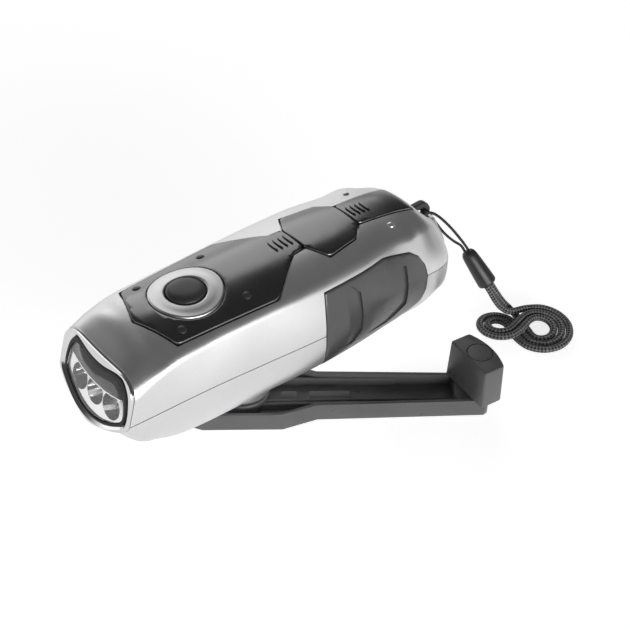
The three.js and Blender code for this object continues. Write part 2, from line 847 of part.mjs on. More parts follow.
function makeFront() {
  piece("lens_bezel", "chrome", cut(faceSlice(0, 0, bezel.depth), faceBlock(bezel.rim)));
  const gasketMargin = bezel.rim + gap;
  const lensMargin = gasketMargin + gasket.width + gap;
  const seal = faceSlice(gasketMargin, gasket.recess, gasket.recess + gasket.depth);
  piece("lens_gasket", "satinBlack", cut(seal, faceBlock(gasketMargin + gasket.width)));
  piece("lens", "clear", faceSlice(lensMargin, lens.recess, lens.recess + lens.thickness));

  const back = reflectorBack;
  const bowl = common(faceBlock(reflector.border, back), behindFace(reflector.setback));
  const middle = (reflector.lamps - 1) / 2;
  const across = Array.from({ length: reflector.lamps }, (_, i) => (i - middle) * reflector.pitch);
  const cups = across.map((x) => {
    const profile = cupProfileShares.map(([out, up]) => [
      cup.throatR + (cup.mouthR - cup.throatR) * out,
      -back + reflector.depth * up,
    ]);
    const last = profile[profile.length - 1];
    profile.unshift([0, -back - overrun], [cup.throatR, -back - overrun]);
    profile.push([last[0], overrun], [0, overrun]);
    return turned(profile).translate(x, -reflector.drop, 0).applyMatrix4(faceFrame);
  });
  piece("reflector", "chrome", cut(bowl, ...cups));

  const lampNames = ["led_left", "led_middle", "led_right"];
  across.forEach((x, i) => {
    const low = -back - gap;
    const dome = led.r * led.domeShare;
    const profile = [
      [0, low],
      [led.r, low],
      [led.r, low + led.length - dome],
      [led.r * Math.cos(Math.PI / 4), low + led.length - dome + dome * Math.sin(Math.PI / 4)],
      [0, low + led.length],
    ];
    const lamp = turned(profile, pinSides).translate(x, -reflector.drop, 0);
    piece(lampNames[i], "clear", lamp.applyMatrix4(faceFrame));
  });

  const carrier = block(
    [-ledBoard.halfWidth, ledBoard.halfWidth],
    [-ledBoard.halfHeight - reflector.drop, ledBoard.halfHeight - reflector.drop],
    [-ledBoardBack, ledBoard.thickness - ledBoardBack],
  );
  piece("led_board", "board", carrier.applyMatrix4(faceFrame));
}

function makeTopPanels() {
  const switchWay = disc(ring.r + gap, board.lowZ, body.crestZ + overrun, 0, button.y, fineSides);
  const front = join(
    topPanel(frontPanelOutline, panel.proud, panel.depth),
    ...studsOn(panelStuds, panel.proud),
  );
  piece("front_panel", "glossBlack", cut(front, switchWay));
  piece("rear_insert", "glossBlack", topPanel(insertOutline, panel.proud, panel.depth));
  piece("tail_strip", "glossBlack", topPanel(stripOutline, panel.proud, panel.depth));

  const ringBlank = cut(
    disc(ring.r, board.lowZ, body.crestZ + overrun, 0, button.y, fineSides),
    disc(button.r + gap, board.lowZ - overrun, body.crestZ + 2 * overrun, 0, button.y, fineSides),
  );
  const ringLayer = cut(common(ringBlank, skin(fullRing, ring.proud)), skin(fullRing, -panel.depth));
  piece("switch_ring", "satinMetal", ringLayer);
}

const boardTop = board.lowZ + board.thickness;
const plungerTop = boardTop + tact.height + tact.plungerRise;

function makeSwitch() {
  const shoulder = topHeight(0, button.y) + panel.proud + button.topAbovePanel;
  const flangeTop = topHeight(button.flangeR, button.y) - body.wall - gap;
  const flangeLow = flangeTop - button.flangeThickness;
  const domeTurns = [0, 0.25, 0.5, 0.75].map((share) => (share * Math.PI) / 2);
  const dome = domeTurns.map((turn) => [
    button.r * Math.cos(turn),
    shoulder + button.domeRise * Math.sin(turn),
  ]);
  const profile = [
    [0, plungerTop + button.travel + gap / 2],
    [button.stemR, plungerTop + button.travel + gap / 2],
    [button.stemR, flangeLow],
    [button.flangeR, flangeLow],
    [button.flangeR, flangeTop],
    [button.r, flangeTop],
    ...dome,
    [0, shoulder + button.domeRise],
  ];
  piece("power_button", "darkGrey", turned(profile).translate(0, button.y, 0));
}

function makeGrips() {
  const names = { 1: "right_grip", [-1]: "left_grip" };
  for (const side of [1, -1]) {
    const pad = cut(common(gripBlock(side, 0), skin(fullRing, grip.proud)), skin(fullRing, -grip.depth));
    piece(names[side], "rubber", pad);
  }
}

function makeElectrics() {
  const holes = boardPlaces.map(([x, y]) =>
    disc(boardScrew.shankR + gap, board.lowZ - overrun, boardTop + overrun, x, y, pinSides),
  );
  const sheet = block(
    [-board.halfWidth, board.halfWidth],
    [board.frontY, board.rearY],
    [board.lowZ, boardTop],
  );
  piece("main_board", "board", cut(sheet, ...holes));
  boardPlaces.forEach(([x, y], i) => {
    const head = board.lowZ - gap;
    const profile = [
      [0, head - boardScrew.headThickness],
      [boardScrew.headR, head - boardScrew.headThickness],
      [boardScrew.headR, head],
      [boardScrew.shankR, head],
      [boardScrew.shankR, head + boardScrew.length],
      [0, head + boardScrew.length],
    ];
    piece(`board_screw_${i + 1}`, "steel", turned(profile, pinSides).translate(x, y, 0));
  });

  const base = block(
    [-tact.half, tact.half],
    [button.y - tact.half, button.y + tact.half],
    [boardTop, boardTop + tact.height],
  );
  const plunger = disc(tact.plungerR, boardTop + tact.height / 2, plungerTop, 0, button.y, pinSides);
  piece("tact_switch", "satinBlack", join(base, plunger));
  const storeLow = board.lowZ - capacitor.height;
  const store = disc(capacitor.r, storeLow, board.lowZ, capacitor.x, capacitor.y, roundSides);
  piece("smoothing_capacitor", "satinBlack", store);

  for (let i = 0; i < cell.count; i += 1) {
    const x = (i - (cell.count - 1) / 2) * cell.pitch;
    const can = disc(cell.r, -cell.length / 2, cell.length / 2, 0, 0, roundSides);
    piece(`battery_cell_${i + 1}`, "wrap", can.rotateY(Math.PI / 2).translate(x, cell.y, cell.z));
  }
}

function makeGears() {
  const driveTurn = bearing([0, 0], firstAxis);
  const drive = gearWheel(coarse.module, coarse.wheelTeeth, driveTurn, gears.firstZ, firstTop, [0, 0]);
  const shaftBore = disc(shaft.r + gap, gears.firstZ - overrun, firstTop + overrun, 0, 0);
  piece("drive_gear", "nylon", cut(drive, shaftBore));

  const compounds = [
    { name: "compound_gear_1", at: firstAxis, from: [0, 0], to: secondAxis, gear: coarse, low: gears.firstZ },
    { name: "compound_gear_2", at: secondAxis, from: firstAxis, to: rotorAxis, gear: fine, low: secondZ },
  ];
  for (const { name, at, from, to, gear, low } of compounds) {
    const wheelLow = low + (gear === coarse ? gears.firstFace : gears.face) + gears.step;
    const wheelTop = wheelLow + gears.face;
    const pinionTurn = gapTurn(at, from, gear.pinionTeeth);
    const middle = (wheelLow + wheelTop) / 2;
    const pinion = gearWheel(gear.module, gear.pinionTeeth, pinionTurn, low, middle, at);
    const wheelTurn = bearing(at, to);
    const wheel = gearWheel(fine.module, fine.wheelTeeth, wheelTurn, wheelLow, wheelTop, at);
    const bore = disc(gears.axleR + gap, low - overrun, wheelTop + overrun, ...at, pinSides);
    piece(name, "nylon", cut(join(pinion, wheel), bore));
  }

  [firstAxis, secondAxis].forEach(([x, y], i) => {
    const foot = floorInside - gears.axleSeat + gap;
    piece(`axle_pin_${i + 1}`, "steel", disc(gears.axleR, foot, plateTop, x, y, pinSides));
  });

  const [x, y] = rotorAxis;
  const statorLow = plateTop + gap;
  const magnetLow = statorLow + stator.cupWall + rotor.rise;
  const magnetTop = magnetLow + rotor.height;
  const foot = floorInside - gears.axleSeat + gap;
  const turn = gapTurn(rotorAxis, secondAxis, fine.pinionTeeth);
  const pinion = gearWheel(fine.module, fine.pinionTeeth, turn, thirdZ, thirdTop, rotorAxis);
  const spindle = disc(gears.axleR, foot, magnetTop + rotor.seat, x, y, pinSides);
  piece("rotor_pinion", "brass", join(pinion, spindle));
  const magnet = turned([
    [gears.axleR + gap, magnetLow],
    [rotor.r, magnetLow],
    [rotor.r, magnetTop],
    [gears.axleR + gap, magnetTop],
    [gears.axleR + gap, magnetLow],
  ]);
  piece("rotor_magnet", "magnet", magnet.translate(x, y, 0));

  const statorTop = statorLow + stator.height;
  const split = (statorLow + statorTop) / 2;
  const skinR = stator.r - stator.cupWall;
  const lowerCup = turned([
    [gears.axleR + 2 * gap, statorLow],
    [stator.r, statorLow],
    [stator.r, split - stator.split / 2],
    [skinR, split - stator.split / 2],
    [skinR, statorLow + stator.cupWall],
    [gears.axleR + 2 * gap, statorLow + stator.cupWall],
    [gears.axleR + 2 * gap, statorLow],
  ]);
  piece("stator_cup_lower", "steel", lowerCup.translate(x, y, 0));
  const upperCup = turned([
    [stator.boreR, statorTop - stator.cupWall],
    [skinR, statorTop - stator.cupWall],
    [skinR, split + stator.split / 2],
    [stator.r, split + stator.split / 2],
    [stator.r, statorTop],
    [stator.boreR, statorTop],
    [stator.boreR, statorTop - stator.cupWall],
  ]);
  piece("stator_cup_upper", "steel", upperCup.translate(x, y, 0));
  const coil = turned([
    [stator.coilBoreR, statorLow + stator.cupWall + gap],
    [skinR - gap, statorLow + stator.cupWall + gap],
    [skinR - gap, statorTop - stator.cupWall - gap],
    [stator.coilBoreR, statorTop - stator.cupWall - gap],
    [stator.coilBoreR, statorLow + stator.cupWall + gap],
  ]);
  piece("stator_coil", "copper", coil.translate(x, y, 0));
}

function makeGearPlate() {
  const { halfWidth, frontY, rearY, corner } = plate;
  const outline = mirrored([
    [0, frontY],
    [halfWidth - corner, frontY],
    [halfWidth, frontY + corner],
    [halfWidth, rearY - corner],
    [halfWidth - corner, rearY],
    [0, rearY],
  ]);
  const through = (r, [x, y]) => disc(r, plateLow - overrun, plateTop + overrun, x, y, pinSides);
  const holes = [
    through(shaft.r + gap, [0, 0]),
    ...[firstAxis, secondAxis, rotorAxis].map((at) => through(gears.axleR + gap, at)),
    ...[...plateScrewPlaces, ...platePegPlaces].map((at) => through(plate.screwR + gap, at)),
  ];
  piece("gear_plate", "satinMetal", cut(prism(outline, plateLow, plateTop), ...holes));
  plateScrewPlaces.forEach(([x, y], i) => {
    const head = plateTop + gap;
    const profile = [
      [0, head - plate.screwLength],
      [plate.screwR, head - plate.screwLength],
      [plate.screwR, head],
      [plate.screwHeadR, head],
      [plate.screwHeadR, head + plate.screwHeadThickness],
      [0, head + plate.screwHeadThickness],
    ];
    piece(`plate_screw_${i + 1}`, "steel", turned(profile, pinSides).translate(x, y, 0));
  });
}

function makeCaseScrews() {
  caseScrewPlaces.forEach(([x, y], i) => {
    const seat = caseScrew.seatZ - gap;
    const profile = [
      [0, seat - caseScrew.headThickness],
      [caseScrew.headR, seat - caseScrew.headThickness],
      [caseScrew.headR, seat],
      [caseScrew.shankR, seat],
      [caseScrew.shankR, seat + caseScrew.length],
      [0, seat + caseScrew.length],
    ];
    piece(`case_screw_${i + 1}`, "steel", turned(profile, pinSides).translate(x, y, 0));
  });
}

function makeShaft() {
  const bushTop = floorInside + gap + bush.flangeThickness;
  const sleeve = turned(
    [
      [shaft.r + gap, bush.lowZ],
      [bush.r, bush.lowZ],
      [bush.r, floorInside + gap],
      [bush.flangeR, floorInside + gap],
      [bush.flangeR, bushTop],
      [shaft.r + gap, bushTop],
      [shaft.r + gap, bush.lowZ],
    ],
    roundSides,
  );
  piece("shaft_bush", "brass", sleeve);
  const screwTop = hubCap.thickness + gap + crankScrew.headThickness + crankScrew.length;
  const boreTop = screwTop + gap;
  const rod = turned([
    [shaft.boreR, shaft.lowZ],
    [shaft.r, shaft.lowZ],
    [shaft.r, plateTop],
    [0, plateTop],
    [0, boreTop],
    [shaft.boreR, boreTop],
    [shaft.boreR, shaft.lowZ],
  ]);
  piece("crank_shaft", "steel", rod, crankGroup);
  const seal = turned([
    [washer.boreR, arm.height + gap],
    [washer.r, arm.height + gap],
    [washer.r, collar.lowZ - gap],
    [washer.boreR, collar.lowZ - gap],
    [washer.boreR, arm.height + gap],
  ]);
  piece("hub_washer", "satinBlack", seal, crankGroup);
}

function makeArm() {
  const { hubHalf, hubFlat, hubEnd, hubEndHalf, neckS, neckHalf, endS, endHalf, wall } = arm;
  const outline = mirrored([
    [0, -hubEnd],
    [hubEndHalf, -hubEnd],
    [hubHalf, -hubFlat],
    [hubHalf, hubFlat],
    [neckHalf, neckS],
    [endHalf, endS - arm.cornerCut],
    [endHalf - arm.cornerCut, endS],
    [0, endS],
  ]);
  const blockHalf = neckHalf + ((endHalf - neckHalf) * (arm.blockS - neckS)) / (endS - neckS);
  const channel = mirrored([
    [0, wall - hubEnd],
    [hubEndHalf - wall, wall - hubEnd],
    [hubHalf - wall, -hubFlat],
    [hubHalf - wall, hubFlat],
    [neckHalf - wall, neckS],
    [blockHalf - wall, arm.blockS],
    [0, arm.blockS],
  ]);
  const tray = cut(prism(outline, 0, arm.height), prism(channel, arm.floor, arm.height + overrun));
  const low = arm.floor / 2;
  const rib = (t, start, end, top) => block([t, t + armRib.width], [start, end], [low, top]);
  const ribs = [
    rib(armRib.farT - armRib.width, arm.bossR / 2, armRib.shortEnd, armRib.top),
    rib(armRib.nearT, arm.bossR / 2, armRib.longEnd, armRib.top),
    rib(armRib.shortT, arm.bossR / 2, armRib.shortEnd, armRib.top),
  ];
  const pads = [
    [armBlock.firstStart, armBlock.firstEnd],
    [armBlock.start, armBlock.end],
  ].map((ends) => block([armBlock.t - armBlock.width / 2, armBlock.t + armBlock.width / 2], ends, [low, armBlock.top]));
  const boss = disc(arm.bossR, low, arm.height, 0, 0, fineSides);
  const capRoom = hubCap.thickness + gap + crankScrew.headThickness + gap;
  const solid = cut(
    join(tray, ...ribs, ...pads, boss),
    disc(hubCap.r + gap, -overrun, capRoom, 0, 0, roundSides),
    disc(crankScrew.shankR + gap, 0, arm.height, 0, 0, pinSides),
    disc(arm.bossBoreR, capRoom + crankScrew.web, arm.height + overrun, 0, 0, roundSides),
    disc(knobPin.r + gap, knobPin.footZ - gap, arm.height + overrun, 0, knob.radius, pinSides),
  );
  piece("crank_arm", "darkGrey", solid, crankGroup);
  piece("hub_cap", "darkGrey", disc(hubCap.r, 0, hubCap.thickness, 0, 0, roundSides), crankGroup);
  const headLow = hubCap.thickness + gap;
  const headTop = headLow + crankScrew.headThickness;
  const screw = turned(
    [
      [0, headLow],
      [crankScrew.headR, headLow],
      [crankScrew.headR, headTop],
      [crankScrew.shankR, headTop],
      [crankScrew.shankR, headTop + crankScrew.length],
      [0, headTop + crankScrew.length],
    ],
    pinSides,
  );
  piece("crank_screw", "steel", screw, crankGroup);
}

function makeKnob() {
  const outline = [
    [-knob.halfLength, -knob.backY],
    [knob.halfLength, -knob.backY],
  ];
  for (let i = 0; i <= knob.bulgeSteps; i += 1) {
    const along = 1 - (2 * i) / knob.bulgeSteps;
    outline.push([knob.halfLength * along, knob.frontY + knob.bulge * (1 - along * along)]);
  }
  const ringAt = (share, z) => outline.map(([x, y]) => new THREE.Vector3(x * share, y * share, z));
  const seat = knob.topZ - knob.capSeatDepth;
  const handle = cut(
    loft([ringAt(knob.draftShare, knob.baseZ), ringAt(1, knob.topZ)]),
    disc(knobPin.r + gap, knob.baseZ - overrun, knob.topZ, 0, 0, pinSides),
    disc(knobPin.headR + gap, knobPin.headSeatZ - gap, seat + gap, 0, 0, pinSides),
    disc(knobCap.r + gap, seat, knob.topZ + overrun, 0, 0, fineSides),
  );
  const holder = new THREE.Group();
  holder.position.y = knob.radius;
  holder.rotation.z = radians(knob.leanDeg);
  crankGroup.add(holder);
  piece("knob", "darkGrey", handle, holder);
  piece("knob_cap", "darkGrey", disc(knobCap.r, seat + gap, knob.topZ, 0, 0, fineSides), holder);
  const rivet = turned(
    [
      [0, knobPin.footZ],
      [knobPin.r, knobPin.footZ],
      [knobPin.r, knobPin.headSeatZ],
      [knobPin.headR, knobPin.headSeatZ],
      [knobPin.headR, knobPin.headSeatZ + knobPin.headThickness],
      [0, knobPin.headSeatZ + knobPin.headThickness],
    ],
    pinSides,
  );
  piece("knob_pin", "steel", rivet, holder);
}

// The lug's place in the tail, above the seam: height and place along for a point of its outline.
function lugPlace([along, up]) {
  const rootY = body.tailReach - lug.rootInset;
  const lowZ = body.seamZ + lug.lowAbove;
  return [
    lowZ + (lug.topAbove - lug.lowAbove) * up,
    rootY + (lug.rootInset - lug.tipInset) * along,
  ];
}

const lugUpright = new THREE.Matrix4().makeBasis(
  new THREE.Vector3(0, 0, 1),
  new THREE.Vector3(0, 1, 0),
  new THREE.Vector3(1, 0, 0),
);

// The lug's plate, grown by a margin, seen from the side.
function lugBlank(margin) {
  const outline = grown(lugOutlineShares.map(lugPlace), margin);
  const half = lug.halfThickness + margin;
  return prism(outline, -half, half).applyMatrix4(lugUpright);
}

function makeLug() {
  const hole = lugHoleShares.map(lugPlace);
  const way = prism(hole, -overrun, overrun).applyMatrix4(lugUpright);
  piece("lanyard_lug", "satinBlack", cut(lugBlank(0), way));
}

// A straight piece turned about the line from one point to another.
function alongLine(profile, from, to, sides) {
  const start = new THREE.Vector3(...from);
  const way = new THREE.Vector3(...to).sub(start);
  const turn = new THREE.Quaternion().setFromUnitVectors(
    new THREE.Vector3(0, 0, 1),
    way.clone().normalize(),
  );
  return turned(profile, sides).applyQuaternion(turn).translate(...from);
}

// The hank's centreline: a crossed belt round two ends, whose lanes move over turn by turn.
function hankPoint(step) {
  const { span, leftR, rightR, arcSteps, runSteps } = hank;
  const perTurn = 2 * (arcSteps + runSteps);
  const middle = (hank.turns * perTurn + hank.endSteps - runSteps) / 2;
  const aside = (hank.pitch * (step - middle)) / perTurn;
  const edge = Math.PI - Math.acos((leftR + rightR) / span);
  const right = (angle) => {
    const r = rightR + aside;
    return [span / 2 + r * Math.cos(angle), r * Math.sin(angle)];
  };
  const left = (angle) => {
    const r = leftR - aside;
    return [-span / 2 - r * Math.cos(angle), r * Math.sin(angle)];
  };
  const between = (a, b, t) => [a[0] + (b[0] - a[0]) * t, a[1] + (b[1] - a[1]) * t];
  const climb = (t) => hank.lift * t * t * (3 - 2 * t);
  const turn = radians(hank.turnDeg);
  const within = step - perTurn * Math.floor(step / perTurn);
  const half = arcSteps + runSteps;
  const onRight = within < half;
  const done = onRight ? within : within - half;
  const arcShare = Math.min(done / arcSteps, 1);
  const runShare = Math.max((done - arcSteps) / runSteps, 0);
  const arc = onRight ? right : left;
  const next = onRight ? left : right;
  const [x, y] =
    runShare > 0 ? between(arc(edge), next(-edge), runShare) : arc(edge * (2 * arcShare - 1));
  const up = climb(onRight ? arcShare : 1 - arcShare);
  return new THREE.Vector3(
    hank.x + x * Math.cos(turn) - y * Math.sin(turn),
    hank.y + x * Math.sin(turn) + y * Math.cos(turn),
    cord.r + hank.floorGap + up,
  );
}

// The hank's points with a straight end at each side, one cord diameter long.
function hankPath() {
  const last = hank.turns * 2 * (hank.arcSteps + hank.runSteps) + hank.endSteps;
  const points = [];
  for (let step = -hank.runSteps; step <= last; step += 1) points.push(hankPoint(step));
  const beyond = (end, inner) =>
    end.clone().add(end.clone().sub(inner).setLength(2 * cord.r));
  const first = beyond(points[0], points[1]);
  const final = beyond(points[points.length - 1], points[points.length - 2]);
  return [first, ...points, final];
}

// A tube through points, joined ring by ring.
function strung(points, r, sides) {
  const up = new THREE.Vector3(0, 0, 1);
  const rings = points.map((point, i) => {
    const before = points[Math.max(i - 1, 0)];
    const after = points[Math.min(i + 1, points.length - 1)];
    const along = after.clone().sub(before).normalize();
    const across = new THREE.Vector3().crossVectors(up, along).normalize();
    const rise = new THREE.Vector3().crossVectors(along, across);
    return Array.from({ length: sides }, (_, side) => {
      const turn = (2 * Math.PI * side) / sides;
      const out = across.clone().multiplyScalar(r * Math.cos(turn));
      return out.addScaledVector(rise, r * Math.sin(turn)).add(point);
    });
  });
  return loft(rings);
}

// The least clear distance between turns of a cord, measured at points along it.
function leastGap(points, r) {
  const path = new THREE.CatmullRomCurve3(points);
  const length = path.getLength();
  const count = Math.ceil(length / r);
  const places = path.getSpacedPoints(count);
  const apart = Math.ceil((2 * Math.PI * r) / (length / count));
  let least = Infinity;
  for (let i = 0; i < places.length; i += 1) {
    for (let j = i + apart; j < places.length; j += 1) {
      least = Math.min(least, places[i].distanceTo(places[j]) - 2 * r);
    }
  }
  return least;
}

function makeLanyard() {
  const [from, to] = beadRoute;
  const length = new THREE.Vector3(...to).distanceTo(new THREE.Vector3(...from));
  const profile = [
    [0, 0],
    [bead.r - bead.chamfer, 0],
    [bead.r, bead.chamfer],
    [bead.r, length - bead.chamfer],
    [bead.r - bead.chamfer, length],
    [0, length],
  ];
  piece("lanyard_bead", "satinBlack", alongLine(profile, from, to, pinSides));
  piece("lanyard_string", "satinBlack", tube(routeCurve(stringRoute), string.r, string.steps, string.sides));

  const path = hankPath();
  piece("lanyard_hank", "satinBlack", strung(path, cord.r, hank.sides));
  console.log(`Least gap in the hank: ${leastGap(path, cord.r).toFixed(2)} mm`);

  // Each strand ends square to the hank's own end.
  const meeting = (end, inner) => {
    const way = end.clone().sub(inner).normalize();
    const near = end.clone().addScaledVector(way, gap);
    return [near.clone().addScaledVector(way, 2 * cord.r), near].map((p) => p.toArray());
  };
  const strands = {
    lanyard_strand_left: [...leftStrandRoute, ...meeting(path[path.length - 1], path[path.length - 2])],
    lanyard_strand_right: [...rightStrandRoute, ...meeting(path[0], path[1])],
  };
  for (const [name, route] of Object.entries(strands)) {
    piece(name, "satinBlack", tube(routeCurve(route), cord.r, cord.steps, cord.sides));
  }
}

// Wires inside: from the lamps' board, the cells and the generator up to the main board.
function makeLeads() {
  const underBoard = (x, y) => [
    [x, y, board.lowZ - gap - lead.stub],
    [x, y, board.lowZ - gap],
  ];
  const onLampBoard = (depth) =>
    new THREE.Vector3(ledBoard.leadX, 0, -ledBoardBack - depth).applyMatrix4(faceFrame).toArray();
  const cellEnd = (cell.pitch * (cell.count - 1) + cell.length) / 2 + gap;
  const canTop = plateTop + gap + stator.height + gap;
  const canY = rotorAxis[1] - (stator.boreR + stator.r) / 2;
  const routes = {
    lamp_lead: [
      onLampBoard(gap),
      onLampBoard(gap + lead.stub),
      ...underBoard(ledBoard.leadX, board.frontY + board.leadInset),
    ],
    battery_lead: [
      [cellEnd, cell.y, cell.z],
      [cellEnd + lead.stub, cell.y, cell.z],
      [cellEnd + lead.reach, cell.y, (cell.z + board.lowZ) / 2],
      ...underBoard(board.halfWidth - board.leadInset, cell.y + lead.reach),
    ],
    generator_lead: [
      [0, canY, canTop],
      [0, canY, canTop + lead.stub],
      ...underBoard(0, board.rearY - board.leadInset),
    ],
  };
  for (const [name, route] of Object.entries(routes)) {
    piece(name, "red", tube(routeCurve(route), lead.r, lead.steps, lead.sides));
  }
}

const recesses = casingRecesses();
makeUpperShell(recesses);
makeLowerShell(recesses);
makeFront();
makeTopPanels();
makeSwitch();
makeGrips();
makeElectrics();
makeLeads();
makeCaseScrews();
makeGearPlate();
makeGears();
makeShaft();
makeArm();
makeKnob();
makeLug();
makeLanyard();

export default torch;
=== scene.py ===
import math

import bmesh
import bpy
import numpy as np
from mathutils import Matrix, Vector


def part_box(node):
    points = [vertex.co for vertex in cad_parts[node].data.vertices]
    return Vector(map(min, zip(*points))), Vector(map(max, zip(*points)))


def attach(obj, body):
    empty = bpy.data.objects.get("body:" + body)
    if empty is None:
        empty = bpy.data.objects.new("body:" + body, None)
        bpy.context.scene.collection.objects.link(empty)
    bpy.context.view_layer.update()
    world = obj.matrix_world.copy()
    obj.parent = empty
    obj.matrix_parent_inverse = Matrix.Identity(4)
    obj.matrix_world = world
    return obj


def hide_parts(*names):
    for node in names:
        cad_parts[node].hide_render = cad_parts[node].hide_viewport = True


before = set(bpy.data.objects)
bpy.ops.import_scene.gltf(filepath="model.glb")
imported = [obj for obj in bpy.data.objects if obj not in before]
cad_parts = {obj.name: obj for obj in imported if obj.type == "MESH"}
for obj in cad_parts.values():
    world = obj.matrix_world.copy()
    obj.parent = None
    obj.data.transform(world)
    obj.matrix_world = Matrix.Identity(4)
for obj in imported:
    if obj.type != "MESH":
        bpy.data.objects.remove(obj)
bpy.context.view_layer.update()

MM = 0.001
OVERRUN = 3.0
GAP = 0.3
NOTHING = 1e-6
# Sharp edges get this much bevel where nothing else is said.
SMALL_BEVEL = 0.5

# --- Camera ---

CAMERA_PLACE = (231.68, -165.98, 281.69)
CAMERA_TURN = (49.568, 40.403, 0.870)
CAMERA_LENS = 66.82
SENSOR_WIDTH = 36
CAMERA_SEES = (0.01, 20)


def in_scene(name, data):
    made = bpy.data.objects.new(name, data)
    bpy.context.scene.collection.objects.link(made)
    return made


def place_camera():
    azimuth, elevation, roll = (math.radians(angle) for angle in CAMERA_TURN)
    level = Vector((math.cos(azimuth), math.sin(azimuth), 0))
    back = Vector((
        math.sin(azimuth) * math.cos(elevation),
        -math.cos(azimuth) * math.cos(elevation),
        math.sin(elevation),
    ))
    upright = back.cross(level)
    right = level * math.cos(roll) + upright * math.sin(roll)
    up = upright * math.cos(roll) - level * math.sin(roll)
    camera = in_scene("Camera", bpy.data.cameras.new("Camera"))
    camera.data.lens = CAMERA_LENS
    camera.data.sensor_width = SENSOR_WIDTH
    camera.data.clip_start, camera.data.clip_end = CAMERA_SEES
    turn = Matrix((right, up, back)).transposed().to_4x4()
    camera.matrix_world = Matrix.Translation(Vector(CAMERA_PLACE) * MM) @ turn
    bpy.context.scene.camera = camera


place_camera()
bpy.context.scene.view_settings.view_transform = "Standard"

# --- Finishes ---


def add_node(tree, kind, inputs=(), **settings):
    """A shader node. Each input, by name or number, gets a value or another node's output."""
    made = tree.nodes.new("ShaderNode" + kind)
    for key, value in settings.items():
        setattr(made, key, value)
    for key, value in dict(inputs).items():
        if isinstance(value, bpy.types.NodeSocket):
            tree.links.new(value, made.inputs[key])
        else:
            made.inputs[key].default_value = value
    return made


class Finish:
    """A surface material with its nodes: plain values go on the shader's own sockets."""

    def __init__(self, name, colour, roughness, **sockets):
        self.material = bpy.data.materials.new(name)
        self.material.use_nodes = True
        self.shader = self.material.node_tree.nodes["Principled BSDF"]
        self.colour = colour
        self.shader.inputs["Base Color"].default_value = (*colour, 1)
        self.shader.inputs["Roughness"].default_value = roughness
        for socket, value in sockets.items():
            label = "IOR" if socket == "ior" else socket.replace("_", " ").title()
            self.shader.inputs[label].default_value = value
        self.place = self.node("TexCoord").outputs["Object"]
        self.normal = None

    def node(self, kind, inputs=(), **settings):
        return add_node(self.material.node_tree, kind, inputs, **settings)

    def feed(self, source, socket):
        self.material.node_tree.links.new(source, self.shader.inputs[socket])

    def noise(self, size, detail, stretch=(1, 1, 1)):
        """Noise whose lumps are about that many millimetres across."""
        scale = [1 / MM / size / s for s in stretch]
        centre = self.node("Mapping", {"Scale": scale, "Vector": self.place})
        return self.node("TexNoise", {
            "Scale": 1, "Detail": detail, "Vector": centre.outputs["Vector"],
        }).outputs["Fac"]

    def cells(self, size, feature="F1"):
        inputs = {"Scale": 1 / MM / size, "Vector": self.place}
        return self.node("TexVoronoi", inputs, feature=feature).outputs["Distance"]

    def spread(self, source, low, high, from_low=0.3, from_high=0.7):
        return self.node("MapRange", {
            "From Min": from_low, "From Max": from_high, "To Min": low, "To Max": high,
            "Value": source,
        }).outputs["Result"]

    def bump(self, source, height, strength):
        """Relief of that many millimetres, on top of the relief given before."""
        inputs = {"Distance": height * MM, "Strength": strength, "Height": source}
        if self.normal:
            inputs["Normal"] = self.normal
        self.normal = self.node("Bump", inputs).outputs["Normal"]
        self.feed(self.normal, "Normal")

    def rough(self, source, low, high):
        self.feed(self.spread(source, low, high), "Roughness")

    def tint(self, source, dark, pale, from_low=0.3, from_high=0.7):
        """Colour that runs from dark times the colour to pale times the colour."""
        mix = self.node("Mix", {
            "A": (*[c * dark for c in self.colour], 1),
            "B": (*[min(c * pale, 1) for c in self.colour], 1),
            "Factor": self.spread(source, 0, 1, from_low, from_high),
        }, data_type="RGBA")
        self.feed(mix.outputs["Result"], "Base Color")


def grey(level):
    return (level, level, level * 1.01)


def grained(name, colour, roughness, tint, rough, bump, stretch=(1, 1, 1), **sockets):
    """A finish of three noises, each given as its size, its detail and the two values it sets."""
    made = Finish(name, colour, roughness, **sockets)
    if tint:
        made.tint(made.noise(*tint[:2]), *tint[2:])
    made.rough(made.noise(*rough[:2]), *rough[2:])
    made.bump(made.noise(*bump[:2], stretch), *bump[2:])
    return made.material


def dark_plastic(name, level, low, high):
    return grained(
        name, grey(level), 0.4, (12, 2, 0.94, 1.07), (9, 2, low, high), (0.35, 3, 0.01, 0.5),
        ior=1.5,
    )


def bright_metal(name, colour, low, high, size=0.6, height=0.006, stretch=(1, 1, 1)):
    return grained(
        name, colour, low, (size * 10, 3, 0.93, 1.05), (size * 6, 4, low, high),
        (size, 3, height, 0.4), stretch, metallic=1.0,
    )


def moulded(name, colour, low, high, **sockets):
    return grained(
        name, colour, low, (4, 4, 0.9, 1.08), (3, 4, low, high), (0.5, 3, 0.012, 0.5),
        ior=1.5, **sockets,
    )


def clear_plastic(name, low, high, tint):
    return grained(
        name, (tint, tint, tint), low, None, (5, 3, low, high), (9, 2, 0.01, 0.2),
        ior=1.46, transmission_weight=1.0,
    )


def silver_paint():
    """Metallic paint: fine flake over a very slight orange peel."""
    made = Finish("silver paint", grey(0.88), 0.34, metallic=0.85, ior=1.5)
    flake = made.cells(0.22)
    made.tint(flake, 1.03, 0.93, 0.0, 0.6)
    made.rough(made.noise(14, 4), 0.31, 0.38)
    made.bump(flake, 0.004, 0.35)
    made.bump(made.noise(1.6, 2), 0.012, 0.4)
    return made.material


